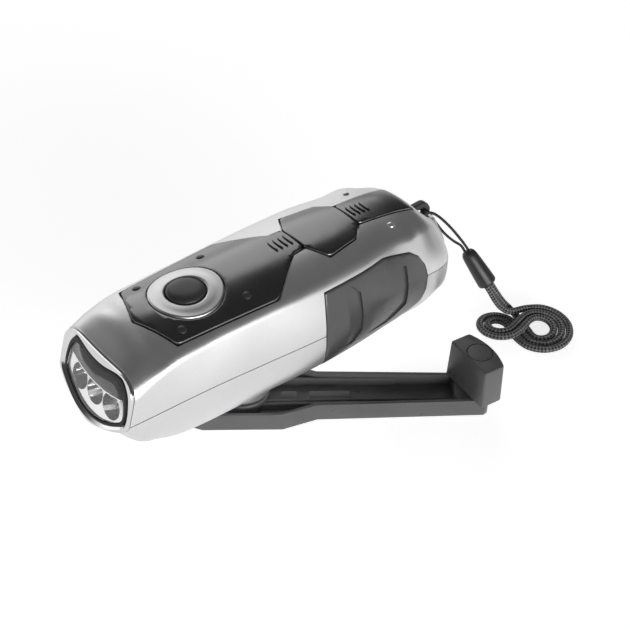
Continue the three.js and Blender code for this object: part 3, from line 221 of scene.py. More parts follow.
def circuit_board():
    made = Finish("circuit board", (0.03, 0.13, 0.06), 0.35, ior=1.5)
    tracks = made.cells(2.4, "DISTANCE_TO_EDGE")
    made.tint(tracks, 2.2, 0.9, 0.02, 0.06)
    made.rough(made.noise(5, 4), 0.3, 0.5)
    made.bump(tracks, 0.03, 0.4)
    return made.material


def copper_winding():
    made = Finish("copper winding", (0.62, 0.24, 0.1), 0.3, metallic=0.9)
    turns = made.node(
        "TexWave", {"Scale": 900, "Distortion": 0.4, "Vector": made.place},
        wave_type="BANDS", bands_direction="Z",
    ).outputs["Fac"]
    made.tint(turns, 0.55, 1.1, 0.1, 0.8)
    made.rough(made.noise(2, 3), 0.25, 0.4)
    made.bump(turns, 0.06, 0.7)
    return made.material


BRAID_SCALE = 1.2122


def braided_cord():
    """A braid of dark and grey yarns, laid out on the cord's own map."""
    made = Finish("braided cord", grey(0.05), 0.75, sheen_weight=0.3, sheen_roughness=0.5)
    lay = made.node("UVMap", uv_map="along").outputs["UV"]
    turned = made.node("Mapping", {"Rotation": (0, 0, math.radians(45)), "Vector": lay})
    yarns = made.node("TexChecker", {
        "Scale": BRAID_SCALE, "Vector": turned.outputs["Vector"],
    }).outputs["Fac"]
    worn = made.spread(made.noise(1.1, 3), 0.45, 1.2)
    both = made.node("Math", {0: yarns, 1: worn}, operation="MULTIPLY")
    made.tint(both.outputs["Value"], 0.35, 6.0, 0.0, 1.0)
    made.bump(yarns, 0.16, 0.8)
    made.bump(made.noise(0.16, 2), 0.05, 0.5)
    return made.material


SILVER = silver_paint()
BLACK = grained(
    "black gloss", grey(0.012), 0.22, (6, 3, 0.9, 1.3), (11, 4, 0.19, 0.26), (3.2, 2, 0.01, 0.3),
    ior=2.6, coat_weight=0.3, coat_roughness=0.12,
)
RUBBER = grained(
    "grip rubber", grey(0.075), 0.3, (14, 2, 0.86, 1.16), (9, 2, 0.27, 0.32),
    (0.28, 2, 0.015, 0.45), ior=1.72,
)
PLASTIC = dark_plastic("dark plastic", 0.14, 0.27, 0.32)
BUTTON_PLASTIC = dark_plastic("button plastic", 0.055, 0.28, 0.36)
LUG_PLASTIC = dark_plastic("lug and bead plastic", 0.035, 0.3, 0.42)
GASKET = moulded("gasket rubber", grey(0.018), 0.45, 0.6)
CHROME = bright_metal("bezel chrome", grey(0.86), 0.1, 0.17, 1.5, 0.002)
SATIN_RING = bright_metal("satin ring metal", grey(0.72), 0.36, 0.42, 1.2, 0.001)
MIRROR = bright_metal("reflector plating", grey(0.9), 0.08, 0.14, 2.0, 0.002)
CLEAR = clear_plastic("clear lens", 0.0, 0.03, 0.98)
LAMP = clear_plastic("lamp resin", 0.02, 0.08, 0.95)
STEEL = bright_metal("steel", grey(0.5), 0.3, 0.42, 0.4)
PLATE = bright_metal("plate alloy", grey(0.62), 0.34, 0.46, 0.5, stretch=(6, 1, 1))
BRASS = bright_metal("brass", (0.72, 0.5, 0.2), 0.26, 0.38, 0.4)
MAGNET = moulded("ferrite", (0.07, 0.07, 0.08), 0.5, 0.62, metallic=0.3)
NYLON = moulded("white nylon", (0.78, 0.76, 0.7), 0.38, 0.5, subsurface_weight=0.1)
BOARD = circuit_board()
SWITCH_CASE = moulded("switch case", grey(0.03), 0.4, 0.5)
SLEEVE = moulded("capacitor sleeve", (0.02, 0.03, 0.07), 0.25, 0.35)
CELL = moulded("cell can", (0.05, 0.3, 0.16), 0.28, 0.38)
WIRE_RED = moulded("wire sleeve", (0.42, 0.03, 0.02), 0.4, 0.5)
COIL = copper_winding()
CORD = braided_cord()
STRING = moulded("thin string", grey(0.02), 0.55, 0.7)

# --- Floor and light ---

FLOOR_HALF = 2.5
FLOOR_GREY = 0.8
FLOOR_GLOW = 0.79
# The casing mirrors this part of the glow that the camera sees on the floor.
MIRRORED = 0.68
SKY_PALE = 1.15
SKY_DARK = 0.055
SKY_DARK_WAY = (0.56, 0.1, 0.82)
SKY_TURN = (-0.48, 0.14)
# Name, place, point that it faces, width and height in metres, and power in watts.
LAMPS = [
    ("far softbox", (-0.9, 0.5, 0.75), (0, 0, 0.03), (0.9, 0.7), 2.2),
    ("side softbox", (0.85, -0.12, 0.17), (0, 0, 0.03), (0.7, 0.3), 5.5),
]


def make_floor():
    """Pale paper with a glow that only the camera, mirrors and clear pieces see."""
    bpy.ops.object.select_all(action="DESELECT")
    bpy.ops.mesh.primitive_plane_add(size=2 * FLOOR_HALF, location=(0, 0, 0))
    floor = bpy.context.object
    floor.name = "floor"
    paper = bpy.data.materials.new("floor paper")
    paper.use_nodes = True
    tree = paper.node_tree
    tree.nodes.remove(tree.nodes["Principled BSDF"])

    def sums(operation, first, second):
        inputs = {0: first, 1: second}
        return add_node(tree, "Math", inputs, operation=operation).outputs["Value"]

    colour = (FLOOR_GREY, FLOOR_GREY, FLOOR_GREY, 1)
    matt = add_node(tree, "BsdfDiffuse", {"Color": colour})
    rays = add_node(tree, "LightPath").outputs
    mirrored_part = sums("MULTIPLY", rays["Is Glossy Ray"], MIRRORED)
    seen = sums("MAXIMUM", rays["Is Camera Ray"], mirrored_part)
    seen = sums("MAXIMUM", seen, rays["Is Transmission Ray"])
    strength = sums("MULTIPLY", seen, FLOOR_GLOW)
    glow = add_node(tree, "Emission", {"Strength": strength})
    both = add_node(tree, "AddShader", {
        0: matt.outputs["BSDF"], 1: glow.outputs["Emission"],
    })
    tree.links.new(both.outputs["Shader"], tree.nodes["Material Output"].inputs["Surface"])
    floor.data.materials.append(paper)


def make_sky():
    """A pale surround with a dark ceiling, white where the camera sees it."""
    world = bpy.data.worlds.new("studio")
    bpy.context.scene.world = world
    world.use_nodes = True
    tree = world.node_tree
    way = add_node(tree, "TexCoord").outputs["Generated"]
    height = add_node(
        tree, "VectorMath", {0: way, 1: SKY_DARK_WAY}, operation="DOT_PRODUCT",
    )
    fall = add_node(tree, "MapRange", {
        "From Min": SKY_TURN[0], "From Max": SKY_TURN[1], "To Min": SKY_PALE, "To Max": SKY_DARK,
        "Value": height.outputs["Value"],
    }, interpolation_type="SMOOTHSTEP")
    lit = tree.nodes["Background"]
    lit.inputs["Color"].default_value = (1, 1, 1, 1)
    tree.links.new(fall.outputs["Result"], lit.inputs["Strength"])
    white = add_node(tree, "Background", {"Strength": 1})
    rays = add_node(tree, "LightPath")
    mix = add_node(tree, "MixShader", {
        "Fac": rays.outputs["Is Camera Ray"],
        1: lit.outputs["Background"], 2: white.outputs["Background"],
    })
    tree.links.new(mix.outputs["Shader"], tree.nodes["World Output"].inputs["Surface"])


def aimed(place, way, up):
    """A place whose Z points a given way, with another axis up."""
    return Matrix.Translation(place) @ way.to_track_quat("Z", up).to_matrix().to_4x4()


def make_lamp(name, place, aim, size, watts):
    lamp = bpy.data.lights.new(name, "AREA")
    lamp.shape = "RECTANGLE"
    lamp.size, lamp.size_y = size
    lamp.energy = watts
    in_scene(name, lamp).matrix_world = aimed(place, Vector(place) - Vector(aim), "Y")


make_floor()
make_sky()
for lamp_row in LAMPS:
    make_lamp(*lamp_row)

# --- Cords ---

CORD_WIDTH = 2.8
CORD_THICKNESS = 2.3
CORD_SIDES = 14
CORD_STEP = 0.45
# How much of its flat way a cord keeps from point to point, and how much it takes on.
CORD_STEADY = (0.8, 0.2)
STRING_WIDTH = 1.0
STRING_SIDES = 10
STRING_STEP = 0.4
ROUTE_STEPS = 8
HANK_CORD_R = 1.1
HANK_MIDDLE = (34.6, 100.4)
HANK_TURN = math.radians(44)
HANK_SPAN = 15
HANK_RADII = (6, 7.2)
HANK_PITCH = 2.9
HANK_LIFT = 2.9
HANK_FLOOR_GAP = 0.08
HANK_TURNS = 2
ARC_STEPS = 9
RUN_STEPS = 3
END_STEPS = 8
STRING_ROUTE = [
    (11.5, 93.5, 27.7), (10.2, 92.8, 29.6), (8.6, 91.2, 32.6), (6.7, 89.4, 35.8),
    (4.7, 87.6, 38.6), (3.2, 85.3, 41.4), (2.6, 82.8, 43.6), (1.7, 80.2, 44.9),
    (0, 79.6, 45.1), (-1.7, 80.2, 44.8), (-2.4, 82.8, 43.2), (-1.6, 85.5, 40),
    (0.8, 87, 36.4), (3.9, 88.2, 33.3), (6.9, 90, 30.8), (9.1, 92.2, 28.7),
    (10.4, 92.9, 26.8),
]
LEFT_STRAND = [
    (20.0, 96.3, 14.8), (21.1, 97.0, 13), (22.8, 98.2, 9.6), (25, 99.8, 6.3),
    (27.2, 102.2, 4.4),
]
RIGHT_STRAND = [
    (18.4, 99.0, 14.8), (19.5, 99.7, 13), (20.9, 101.2, 9.7), (22.6, 103.1, 6),
    (24.9, 105, 2.9),
]


def hank_point(step):
    """A point of the hank: a crossed belt round two ends, whose lanes move over turn by turn."""
    left_r, right_r = HANK_RADII
    half = ARC_STEPS + RUN_STEPS
    middle = (HANK_TURNS * 2 * half + END_STEPS - RUN_STEPS) / 2
    aside = HANK_PITCH * (step - middle) / (2 * half)
    edge = math.pi - math.acos((left_r + right_r) / HANK_SPAN)

    def arc(side, angle):
        r = right_r + aside if side > 0 else left_r - aside
        return Vector((side * (HANK_SPAN / 2 + r * math.cos(angle)), r * math.sin(angle)))

    side = 1 if step % (2 * half) < half else -1
    done = step % half
    arc_share = min(done / ARC_STEPS, 1)
    run_share = max((done - ARC_STEPS) / RUN_STEPS, 0)
    x, y = arc(side, edge * (2 * arc_share - 1))
    if run_share > 0:
        x, y = arc(side, edge).lerp(arc(-side, -edge), run_share)
    rise = arc_share if side > 0 else 1 - arc_share
    return (
        HANK_MIDDLE[0] + x * math.cos(HANK_TURN) - y * math.sin(HANK_TURN),
        HANK_MIDDLE[1] + x * math.sin(HANK_TURN) + y * math.cos(HANK_TURN),
        HANK_CORD_R + HANK_FLOOR_GAP + HANK_LIFT * rise * rise * (3 - 2 * rise),
    )


def run_along(points):
    """How far along its line each point is."""
    steps = np.linalg.norm(np.diff(points, axis=0), axis=1)
    return np.concatenate([[0], np.cumsum(steps)])


def smooth_route(points, per_span):
    """Points along a rounded curve through the given ones."""
    p = np.array([points[0], *points, points[-1]], float)
    p[0] = 2 * p[1] - p[2]
    p[-1] = 2 * p[-2] - p[-3]

    def between(a, b, start, end, t):
        return (a * (end - t) + b * (t - start)) / (end - start)

    made = []
    for i in range(1, len(p) - 2):
        q = p[i - 1 : i + 3]
        steps = np.linalg.norm(np.diff(q, axis=0), axis=1)
        knots = np.concatenate([[0], np.cumsum(steps**0.5)])
        last = i == len(p) - 3
        for share in np.linspace(0, 1, per_span + 1)[: per_span + last]:
            t = knots[1] + (knots[2] - knots[1]) * share
            a = [between(q[k], q[k + 1], knots[k], knots[k + 1], t) for k in range(3)]
            b = [between(a[k], a[k + 1], knots[k], knots[k + 2], t) for k in range(2)]
            made.append(between(b[0], b[1], knots[1], knots[2], t))
    return np.array(made)


def unit(rows):
    """The same rows, each made one long."""
    return rows / np.linalg.norm(rows, axis=1)[:, None]


def evenly(points, count):
    """The same line with that many points, all equally far apart."""
    run = run_along(points)
    wanted = np.linspace(0, run[-1], count)
    return np.stack([np.interp(wanted, run, column) for column in points.T], axis=1)


def cord_mesh(name, route, spacing, width, thickness, sides):
    """A closed tube along a route, flat side up, with a map that runs along it."""
    length = run_along(route)[-1]
    points = evenly(route, int(round(length / spacing)) + 1)
    along = unit(np.gradient(points, axis=0))
    across = np.cross((0.0, 0.0, 1.0), along)
    across[np.linalg.norm(across, axis=1) < NOTHING] = (1, 0, 0)
    across = unit(across)
    for i in range(1, len(across)):
        steady = CORD_STEADY[0] * across[i - 1] + CORD_STEADY[1] * across[i]
        steady -= along[i] * (steady @ along[i])
        across[i] = steady / np.linalg.norm(steady)
    rise = np.cross(along, across)
    turns = (2 * math.pi * np.arange(sides) / sides)[None, :, None]
    rings = (
        points[:, None, :]
        + across[:, None, :] * np.cos(turns) * width / 2
        + rise[:, None, :] * np.sin(turns) * thickness / 2
    )
    end = (len(points) - 1) * sides
    faces = []
    for start in range(0, end, sides):
        for s in range(sides):
            after = (s + 1) % sides
            faces.append((start + s, start + after, start + sides + after, start + sides + s))
    faces += [tuple(range(sides))[::-1], tuple(range(end, end + sides))]
    mesh = bpy.data.meshes.new(name)
    mesh.from_pydata((rings.reshape(-1, 3) * MM).tolist(), [], faces)
    lay = mesh.uv_layers.new(name="along")
    step = np.linalg.norm(points[1] - points[0])
    girth = round(math.pi * (width + thickness) / 2)
    for polygon in mesh.polygons:
        closes_ring = polygon.index < end and polygon.index % sides == sides - 1
        for loop in polygon.loop_indices:
            ring, side = divmod(mesh.loops[loop].vertex_index, sides)
            if closes_ring and side == 0:
                side = sides
            lay.data[loop].uv = (side / sides * girth, ring * step)
    mesh.polygons.foreach_set("use_smooth", [True] * len(mesh.polygons))
    return in_scene(name, mesh), points, length


def make_cord():
    last = HANK_TURNS * 2 * (ARC_STEPS + RUN_STEPS) + END_STEPS
    hank = [hank_point(step) for step in range(-RUN_STEPS, last + 1)]
    route = smooth_route([*RIGHT_STRAND, *hank, *LEFT_STRAND[::-1]], ROUTE_STEPS)
    cord, points, length = cord_mesh(
        "lanyard_cord", route, CORD_STEP, CORD_WIDTH, CORD_THICKNESS, CORD_SIDES,
    )
    cord.data.materials.append(CORD)
    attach(cord, "housing")
    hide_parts("lanyard_strand_right", "lanyard_hank", "lanyard_strand_left")


def make_string():
    made = cord_mesh(
        "lanyard_thin_string", smooth_route(STRING_ROUTE, ROUTE_STEPS), STRING_STEP,
        STRING_WIDTH, STRING_WIDTH, STRING_SIDES,
    )
    string = made[0]
    string.data.materials.append(STRING)
    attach(string, "housing")
    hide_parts("lanyard_string")
    return made


make_cord()
thin_string, string_points, string_length = make_string()

# --- Modelling helpers, all in millimetres ---

# Points nearer than this become one.
MERGE_WITHIN = 0.0005
# Nearer than this counts as touching a height.
NEAR = 0.01
# A cut keeps this far from a piece's ends.
EDGE_CLEAR = 0.05


def leave_edit():
    if bpy.context.object and bpy.context.object.mode != "OBJECT":
        bpy.ops.object.mode_set(mode="OBJECT")


def nothing_selected():
    leave_edit()
    bpy.ops.object.select_all(action="DESELECT")


def take(made):
    """Selects one piece alone."""
    nothing_selected()
    made.select_set(True)
    bpy.context.view_layer.objects.active = made


def select_all():
    bpy.ops.mesh.select_all(action="SELECT")


def edit(made, mode="VERT"):
    take(made)
    bpy.ops.object.mode_set(mode="EDIT")
    bpy.ops.mesh.select_mode(type=mode)
    select_all()


def face_outwards():
    """Turns all faces of the piece in edit mode outwards, and leaves edit mode."""
    select_all()
    bpy.ops.mesh.normals_make_consistent(inside=False)
    leave_edit()


def close_up():
    """Joins points that lie on each other, then turns all faces outwards."""
    select_all()
    bpy.ops.mesh.remove_doubles(threshold=MERGE_WITHIN)
    face_outwards()


def pick(made, kind, test):
    """Selects, in edit mode, the faces, edges or vertices that pass the test."""
    mesh = bmesh.from_edit_mesh(made.data)
    for part in (*mesh.faces, *mesh.edges, *mesh.verts):
        part.select = False
    for part in getattr(mesh, kind):
        if test(part):
            part.select_set(True)
    mesh.select_flush_mode()
    bmesh.update_edit_mesh(made.data)


def middle_of(part):
    return sum((v.co for v in part.verts), Vector()) / len(part.verts)


def upright(edge):
    """Tells whether an edge stands up."""
    return abs(edge.verts[0].co.z - edge.verts[1].co.z) > 1


def at_top(z):
    """A test for the parts of a piece at its top."""
    return lambda part: middle_of(part).z > z - NEAR


def shift_points(made, change):
    """Moves every point of a mesh at once: change gets and returns an n by 3 array."""
    points = np.empty(len(made.data.vertices) * 3)
    made.data.vertices.foreach_get("co", points)
    moved = change(points.reshape(-1, 3).copy())
    made.data.vertices.foreach_set("co", np.ascontiguousarray(moved).ravel())
    made.data.update()
    return made


def grow_up(made, low, high):
    """Gives a flat face its thickness."""
    edit(made)
    bpy.ops.transform.translate(value=(0, 0, low))
    bpy.ops.mesh.extrude_region_move(TRANSFORM_OT_translate={"value": (0, 0, high - low)})
    face_outwards()
    return made


def ring_through(name, points, fill):
    """A circle whose points are moved to the given places."""
    nothing_selected()
    bpy.ops.mesh.primitive_circle_add(vertices=len(points), radius=10, fill_type=fill)
    made = bpy.context.object
    made.name = name
    for vertex, place in zip(made.data.vertices, points):
        vertex.co = place
    return made


def slab(name, outline, low, high):
    """A piece of the outline's shape, between two heights."""
    return grow_up(ring_through(name, [(x, y, 0) for x, y in outline], "NGON"), low, high)


def chamfer(made, width, segments, test, angle_deg=25):
    """Bevels the sharp edges that pass the test."""
    edit(made, "EDGE")
    limit = math.radians(angle_deg)
    pick(made, "edges", lambda e: e.calc_face_angle(0) > limit and test(e))
    bpy.ops.mesh.bevel(
        offset=width, offset_type="OFFSET", segments=segments, profile=0.5,
        affect="EDGES", clamp_overlap=True,
    )
    leave_edit()


def sliced(made, step_x=None, step_y=None):
    """Cuts a piece along lines so that it can follow a curved surface."""
    for axis, step in ((0, step_x), (1, step_y)):
        if not step:
            continue
        places = [v.co[axis] for v in made.data.vertices]
        low, high = min(places), max(places)
        edit(made)
        normal = np.eye(3)[axis]
        for at in np.arange(math.ceil(low / step) * step, high, step):
            if low + EDGE_CLEAR < at < high - EDGE_CLEAR:
                select_all()
                bpy.ops.mesh.bisect(plane_co=normal * at, plane_no=normal)
        leave_edit()
    return made


def copy_of(made, name):
    twin = made.copy()
    twin.data = made.data.copy()
    twin.name = name
    bpy.context.scene.collection.objects.link(twin)
    return twin


def joined(first, *others):
    take(first)
    for made in others:
        made.select_set(True)
    bpy.ops.object.join()
    return first


def with_modifier(made, kind, **settings):
    take(made)
    change = made.modifiers.new(kind.lower(), kind)
    for key, value in settings.items():
        setattr(change, key, value)
    bpy.ops.object.modifier_apply(modifier=change.name)


def boolean(made, tool, operation="DIFFERENCE"):
    """Cuts the tool out of a piece, or adds it, and does away with the tool."""
    with_modifier(made, "BOOLEAN", operation=operation, solver="EXACT", object=tool)
    bpy.data.objects.remove(tool)


def settled(made, body, finish, slot, *nodes, angle_deg=32, matrix=None):
    """Puts a finished piece into the frame: metres, body, finish and the nodes it stands for."""
    if matrix:
        made.data.transform(matrix)
    made.data.transform(Matrix.Scale(MM, 4))
    take(made)
    bpy.ops.object.shade_smooth_by_angle(angle=math.radians(angle_deg))
    made.data.materials.clear()
    made.data.materials.append(finish)
    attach(made, body)
    if nodes:
        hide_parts(*nodes)
    return made


def turned_profile(name, profile, sides=64):
    """A profile of radius and height spun about the upright axis."""
    made = ring_through(name, [(r, 0, z) for r, z in profile], "NOTHING")
    edit(made)
    if profile[0][0] < NOTHING and profile[-1][0] < NOTHING:
        ends = {0, len(profile) - 1}
        pick(made, "edges", lambda e: {v.index for v in e.verts} == ends)
        bpy.ops.mesh.delete(type="EDGE")
        select_all()
    bpy.ops.mesh.spin(steps=sides, angle=2 * math.pi, center=(0, 0, 0), axis=(0, 0, 1))
    close_up()
    return made


def mirrored(half):
    return half + [(-x, y) for x, y in reversed(half) if x > 0]


def grown(outline, margin):
    """An outline with each of its edges moved outwards by a margin."""
    points = np.array(outline, float)
    before, after = np.roll(points, 1, axis=0), np.roll(points, -1, axis=0)
    area = np.sum(points[:, 0] * after[:, 1] - after[:, 0] * points[:, 1])
    edge_in, edge_out = unit(points - before), unit(after - points)
    corner = edge_in + edge_out
    reach = math.copysign(margin, area) / (1 + np.sum(edge_in * edge_out, axis=1))
    return (points + np.stack([corner[:, 1], -corner[:, 0]], 1) * reach[:, None]).tolist()


# --- Casing ---

FRONT_REACH = 57.0
TAIL_REACH = 84.8
LENGTH = FRONT_REACH + TAIL_REACH
HALF_WIDTH = 24.2
CREST_Z = 59.8
SEAM_Z = 38.3
FLOOR_Z = 13.5
RISE = CREST_Z - SEAM_Z
DROP = SEAM_Z - FLOOR_Z
SEAM_GAP = 0.3
CREASE_R = 1.7
CREASE_SHARE = 0.35
SIDE_POWER = 1.5
# Place along, crest, crease out and up, seam half width and height, floor, squareness below.
STATIONS = np.array([
    (-0.02, 0.495, 0.73, 0.37, 0.765, 1, 0.33, 1.2),
    (0.02, 0.615, 0.755, 0.43, 0.778, 1, 0.44, 1.7),
    (0.049, 0.7, 0.78, 0.49, 0.79, 1, 0.54, 3.4),
    (0.092, 0.844, 0.785, 0.63, 0.825, 1.015, 0.715, 2.9),
    (0.148, 0.944, 0.78, 0.74, 0.862, 1.03, 0.9, 2.5),
    (0.233, 0.986, 0.77, 0.775, 0.9, 1.035, 0.96, 2.4),
    (0.346, 1, 0.792, 0.78, 0.925, 1.01, 1, 2.3),
    (0.522, 1, 0.818, 0.777, 1, 1, 1, 2.3),
    (0.649, 0.99, 0.793, 0.786, 1, 1, 0.98, 2.3),
    (0.74, 0.953, 0.723, 0.777, 0.967, 1, 0.96, 2.3),
    (0.804, 0.9, 0.74, 0.75, 0.925, 1, 0.945, 2.5),
    (0.846, 0.86, 0.66, 0.68, 0.912, 1, 0.798, 3.4),
    (0.879, 0.8, 0.603, 0.63, 0.91, 1, 0.602, 4.4),
    (0.922, 0.522, 0.499, 0.479, 0.824, 1, 0.607, 4.1),
    (0.949, 0.337, 0.411, 0.271, 0.595, 1, 0.52, 3),
    (0.977, 0.17, 0.225, 0.1, 0.395, 1, 0.355, 2.6),
    (1, 0.11, 0.1, 0.065, 0.13, 1, 0.17, 2.3),
])
ROW_COUNT = 1600
ARCH_FROM = (-54.0, -40.0)
ARCH_POWER = (7.0, 2.1)
# Points of a half section: on the side, round the crease, over the arch and below the seam.
SIDE_POINTS = 22
CREASE_POINTS = 9
ARCH_POINTS = 24
BELOW_POINTS = 40
CURVE_POINTS = 160
RIM_CLEAR = 0.02
UPPER_GRID = (104, 130)
LOWER_GRID = (96, 130)
TIP_SHARE = 0.035
TIP_DOME = 0.25
# The wall, and where along the tail it gets thinner and by how much of itself.
WALL = 2.0
THIN_FROM = 72
THIN_OVER = 8
THIN_SHARE = 0.75


def dense_rows():
    """The stations on a smooth curve, as many rows."""
    spans = np.diff(STATIONS, axis=0) * (LENGTH, RISE, HALF_WIDTH, RISE, HALF_WIDTH, 0, DROP, 0)
    knots = np.concatenate([[0], np.cumsum(np.linalg.norm(spans, axis=1))])
    slopes = np.gradient(STATIONS, knots, axis=0)
    at = np.linspace(0, knots[-1], ROW_COUNT)
    i = np.clip(np.searchsorted(knots, at, side="right") - 1, 0, len(knots) - 2)
    width = (knots[i + 1] - knots[i])[:, None]
    t = (at - knots[i])[:, None] / width
    return (
        (2 * t**3 - 3 * t**2 + 1) * STATIONS[i]
        + (t**3 - 2 * t**2 + t) * width * slopes[i]
        + (3 * t**2 - 2 * t**3) * STATIONS[i + 1]
        + (t**3 - t**2) * width * slopes[i + 1]
    )


ROWS = dense_rows()
ROWS_Y = np.maximum.accumulate(ROWS[:, 0] * LENGTH - FRONT_REACH)


def measures(y):
    """Crest height, crease, seam, floor and squareness of the casing at places along it."""
    crest, crease_x, crease_z, seam_x, seam_z, floor, power = (
        np.interp(y, ROWS_Y, column) for column in ROWS.T[1:]
    )
    return (
        SEAM_Z + crest * RISE, crease_x * HALF_WIDTH, SEAM_Z + crease_z * RISE,
        seam_x * HALF_WIDTH, seam_z * SEAM_Z, floor * DROP, power,
    )


def arch_power(y):
    """How square the top's arch is: flat with firm corners at the nose, round behind it."""
    return np.interp(y, ARCH_FROM, ARCH_POWER)


def top_z(x, y):
    """Height of the casing's top, between its creases."""
    crest, fold_x, fold_z, *_ = measures(y)
    return crest - (crest - fold_z) * np.abs(x / fold_x) ** arch_power(y)


def side_x(y, z):
    """Half width of the casing below its crease."""
    _, fold_x, fold_z, seam_x, seam_z, depth, power = measures(y)
    down = np.clip((fold_z - z) / (fold_z - seam_z), 0, 1)
    above = fold_x + (seam_x - fold_x) * (1 - (1 - down) ** SIDE_POWER)
    share = np.clip((SEAM_Z - z) / depth, 0, 1)
    below = seam_x * (1 - share**power) ** (1 / power)
    return np.where(z > seam_z, above, np.where(z > SEAM_Z, seam_x, below))


def upper_half(y):
    """Points of the upper half's section from its seam to the crest."""
    crest, fold_x, fold_z, seam_x, seam_z, *_ = measures(y)
    side_length = math.hypot(seam_x - fold_x, fold_z - seam_z)
    round_r = min(CREASE_R, CREASE_SHARE * side_length, CREASE_SHARE * fold_x)

    def side(d):
        out = 1 - (1 - d) ** SIDE_POWER
        return np.stack([fold_x + (seam_x - fold_x) * out, fold_z + (seam_z - fold_z) * d], -1)

    def arch(t):
        return np.stack([fold_x * t, crest - (crest - fold_z) * t ** arch_power(y)], -1)

    start, end = round_r / side_length, 1 - round_r / fold_x
    s = np.linspace(0, 1, CREASE_POINTS)[1:-1, None]
    fold = np.array((fold_x, fold_z))
    corner = (1 - s) ** 2 * side(start) + 2 * s * (1 - s) * fold + s**2 * arch(end)
    return np.concatenate([
        side(np.linspace(1, start, SIDE_POINTS)), corner, arch(np.linspace(end, 0, ARCH_POINTS)),
    ])


def lower_half(y):
    """Points of the lower half's section from its seam to the middle of the floor."""
    _, _, _, seam_x, seam_z, depth, power = measures(y)
    turn = np.linspace(0, math.pi / 2, CURVE_POINTS)
    x = seam_x * np.cos(turn) ** (2 / power)
    z = SEAM_Z - depth * np.sin(turn) ** (2 / power)
    edge = seam_z - SEAM_GAP
    below = z < edge - RIM_CLEAR
    rim = [(side_x(y, edge), edge)]
    return evenly(np.concatenate([rim, np.stack([x[below], z[below]], -1)]), BELOW_POINTS)


def casing_skin(name, half_section, grid):
    """A grid laid over one half of the casing, from past the nose to the tail's tip."""
    nothing_selected()
    bpy.ops.mesh.primitive_grid_add(x_subdivisions=grid[0], y_subdivisions=grid[1], size=2)
    made = bpy.context.object
    made.name = name
    pace = np.linspace(0, 1, len(ROWS_Y))

    def lay(points):
        across = (points[:, 0] + 1) / 2
        along = (points[:, 1] + 1) / 2
        for place in np.unique(np.round(along, 9)):
            here = np.abs(along - place) < 1e-8
            y = float(np.interp(min(place / (1 - TIP_SHARE), 1), pace, ROWS_Y))
            half = half_section(y)
            line = np.concatenate([half, (half[:-1] * (-1, 1))[::-1]])
            at = across[here] * (len(line) - 1)
            x, z = (np.interp(at, np.arange(len(line)), column) for column in line.T)
            closed = max((place - (1 - TIP_SHARE)) / TIP_SHARE, 0) * math.pi / 2
            points[here, 0] = x * math.cos(closed)
            points[here, 1] = y + TIP_DOME * math.sin(closed)
            points[here, 2] = line[0, 1] + (z - line[0, 1]) * math.cos(closed)
        return points

    shift_points(made, lay)
    edit(made)
    close_up()
    thin = made.vertex_groups.new(name="wall")
    for vertex in made.data.vertices:
        share = 1 - THIN_SHARE * max(0.0, min((vertex.co.y - THIN_FROM) / THIN_OVER, 1))
        thin.add([vertex.index], share, "REPLACE")
    with_modifier(made, "SOLIDIFY", thickness=WALL, offset=-1, vertex_group="wall", use_rim=True)
    made.vertex_groups.clear()
    return made


# The front end's own axes: X across, Y up along the face, Z out of it.
FACE_REACH = 54.5
FACE_Z = 42.2
FACE_LEAN = math.radians(16.7)
FACE_CURVE = 240.0
FACE_SETBACK = 0.95
COLLAR = 1.0
CUTTER_SIZE = 120
CUTTER_HEIGHT = 40
CUTTER_CUTS = 60
LENS_WAY_LOW = -12.4
NOSE_END = -46
NOSE_SECTIONS = 70
RIM_SPACING = 0.12
FAR_POINT = (9, 9)
RIM_HALF = [
    (0, 7.7), (4, 8.0), (7.2, 8.7), (10.3, 9.2), (12.6, 8.9), (14.3, 7.4), (15.7, 5.2),
    (16.4, 2.5), (16.8, -0.5), (16.6, -3.2), (15.8, -4.9), (13, -7.0), (10, -8.8),
    (6.5, -10.4), (3, -11.2), (0, -11.4),
]
LENS_HALF = [
    (0, 6.1), (4, 6.5), (8, 7.2), (10.5, 7.5), (12.2, 7.0), (13.6, 5.6), (14.7, 3.6),
    (15.3, 1), (15.6, -1.5), (15.4, -3.4), (14.6, -4.6), (12, -6.5), (9, -8.2),
    (6, -9.5), (3, -10.2), (0, -10.4),
]
FACE_FRAME = Matrix((
    (1, 0, 0, 0),
    (0, math.sin(FACE_LEAN), -math.cos(FACE_LEAN), -FACE_REACH),
    (0, math.cos(FACE_LEAN), math.sin(FACE_LEAN), FACE_Z),
    (0, 0, 0, 1),
))


def front_outline(half, margin=0.0, per_span=5):
    """A smooth closed line through half an outline and its mirror image, less a margin."""
    points = np.array(mirrored(half))
    points = points * (1 - margin / np.abs(points).max(axis=0))
    smooth = smooth_route(np.concatenate([points[-3:], points, points[:3]]), per_span)
    return smooth[3 * per_span : (3 + len(points)) * per_span].tolist()


def face_curve(x, r=FACE_CURVE):
    """How far the face stands forward at a place across it."""
    return np.sqrt(r**2 - x**2) - FACE_CURVE


def skin_outline():
    """Where the casing's skin meets the front face, in the face's own axes."""
    places = np.linspace(ROWS_Y[0], NOSE_END, NOSE_SECTIONS)
    into_face = np.array(FACE_FRAME.inverted()).T
    half = []
    for section in (lambda y: upper_half(y)[::-1], lower_half):
        lines = np.array([section(y) for y in places]).transpose(1, 0, 2)
        for line in lines[::2]:
            points = np.column_stack([line[:, 0], places, line[:, 1], np.ones(len(places))])
            points = points @ into_face
            behind = face_curve(points[:, 0]) - points[:, 2]
            x, y = (float(np.interp(0, behind, points[:, k])) for k in (0, 1))
            half.append((max(x, 0.0), y))
    half[0] = (0, half[0][1])
    half.append((0, half[-1][1]))
    pairs = zip(half, half[1:] + [FAR_POINT])
    return mirrored([p for p, after in pairs if math.dist(p, after) > RIM_SPACING])


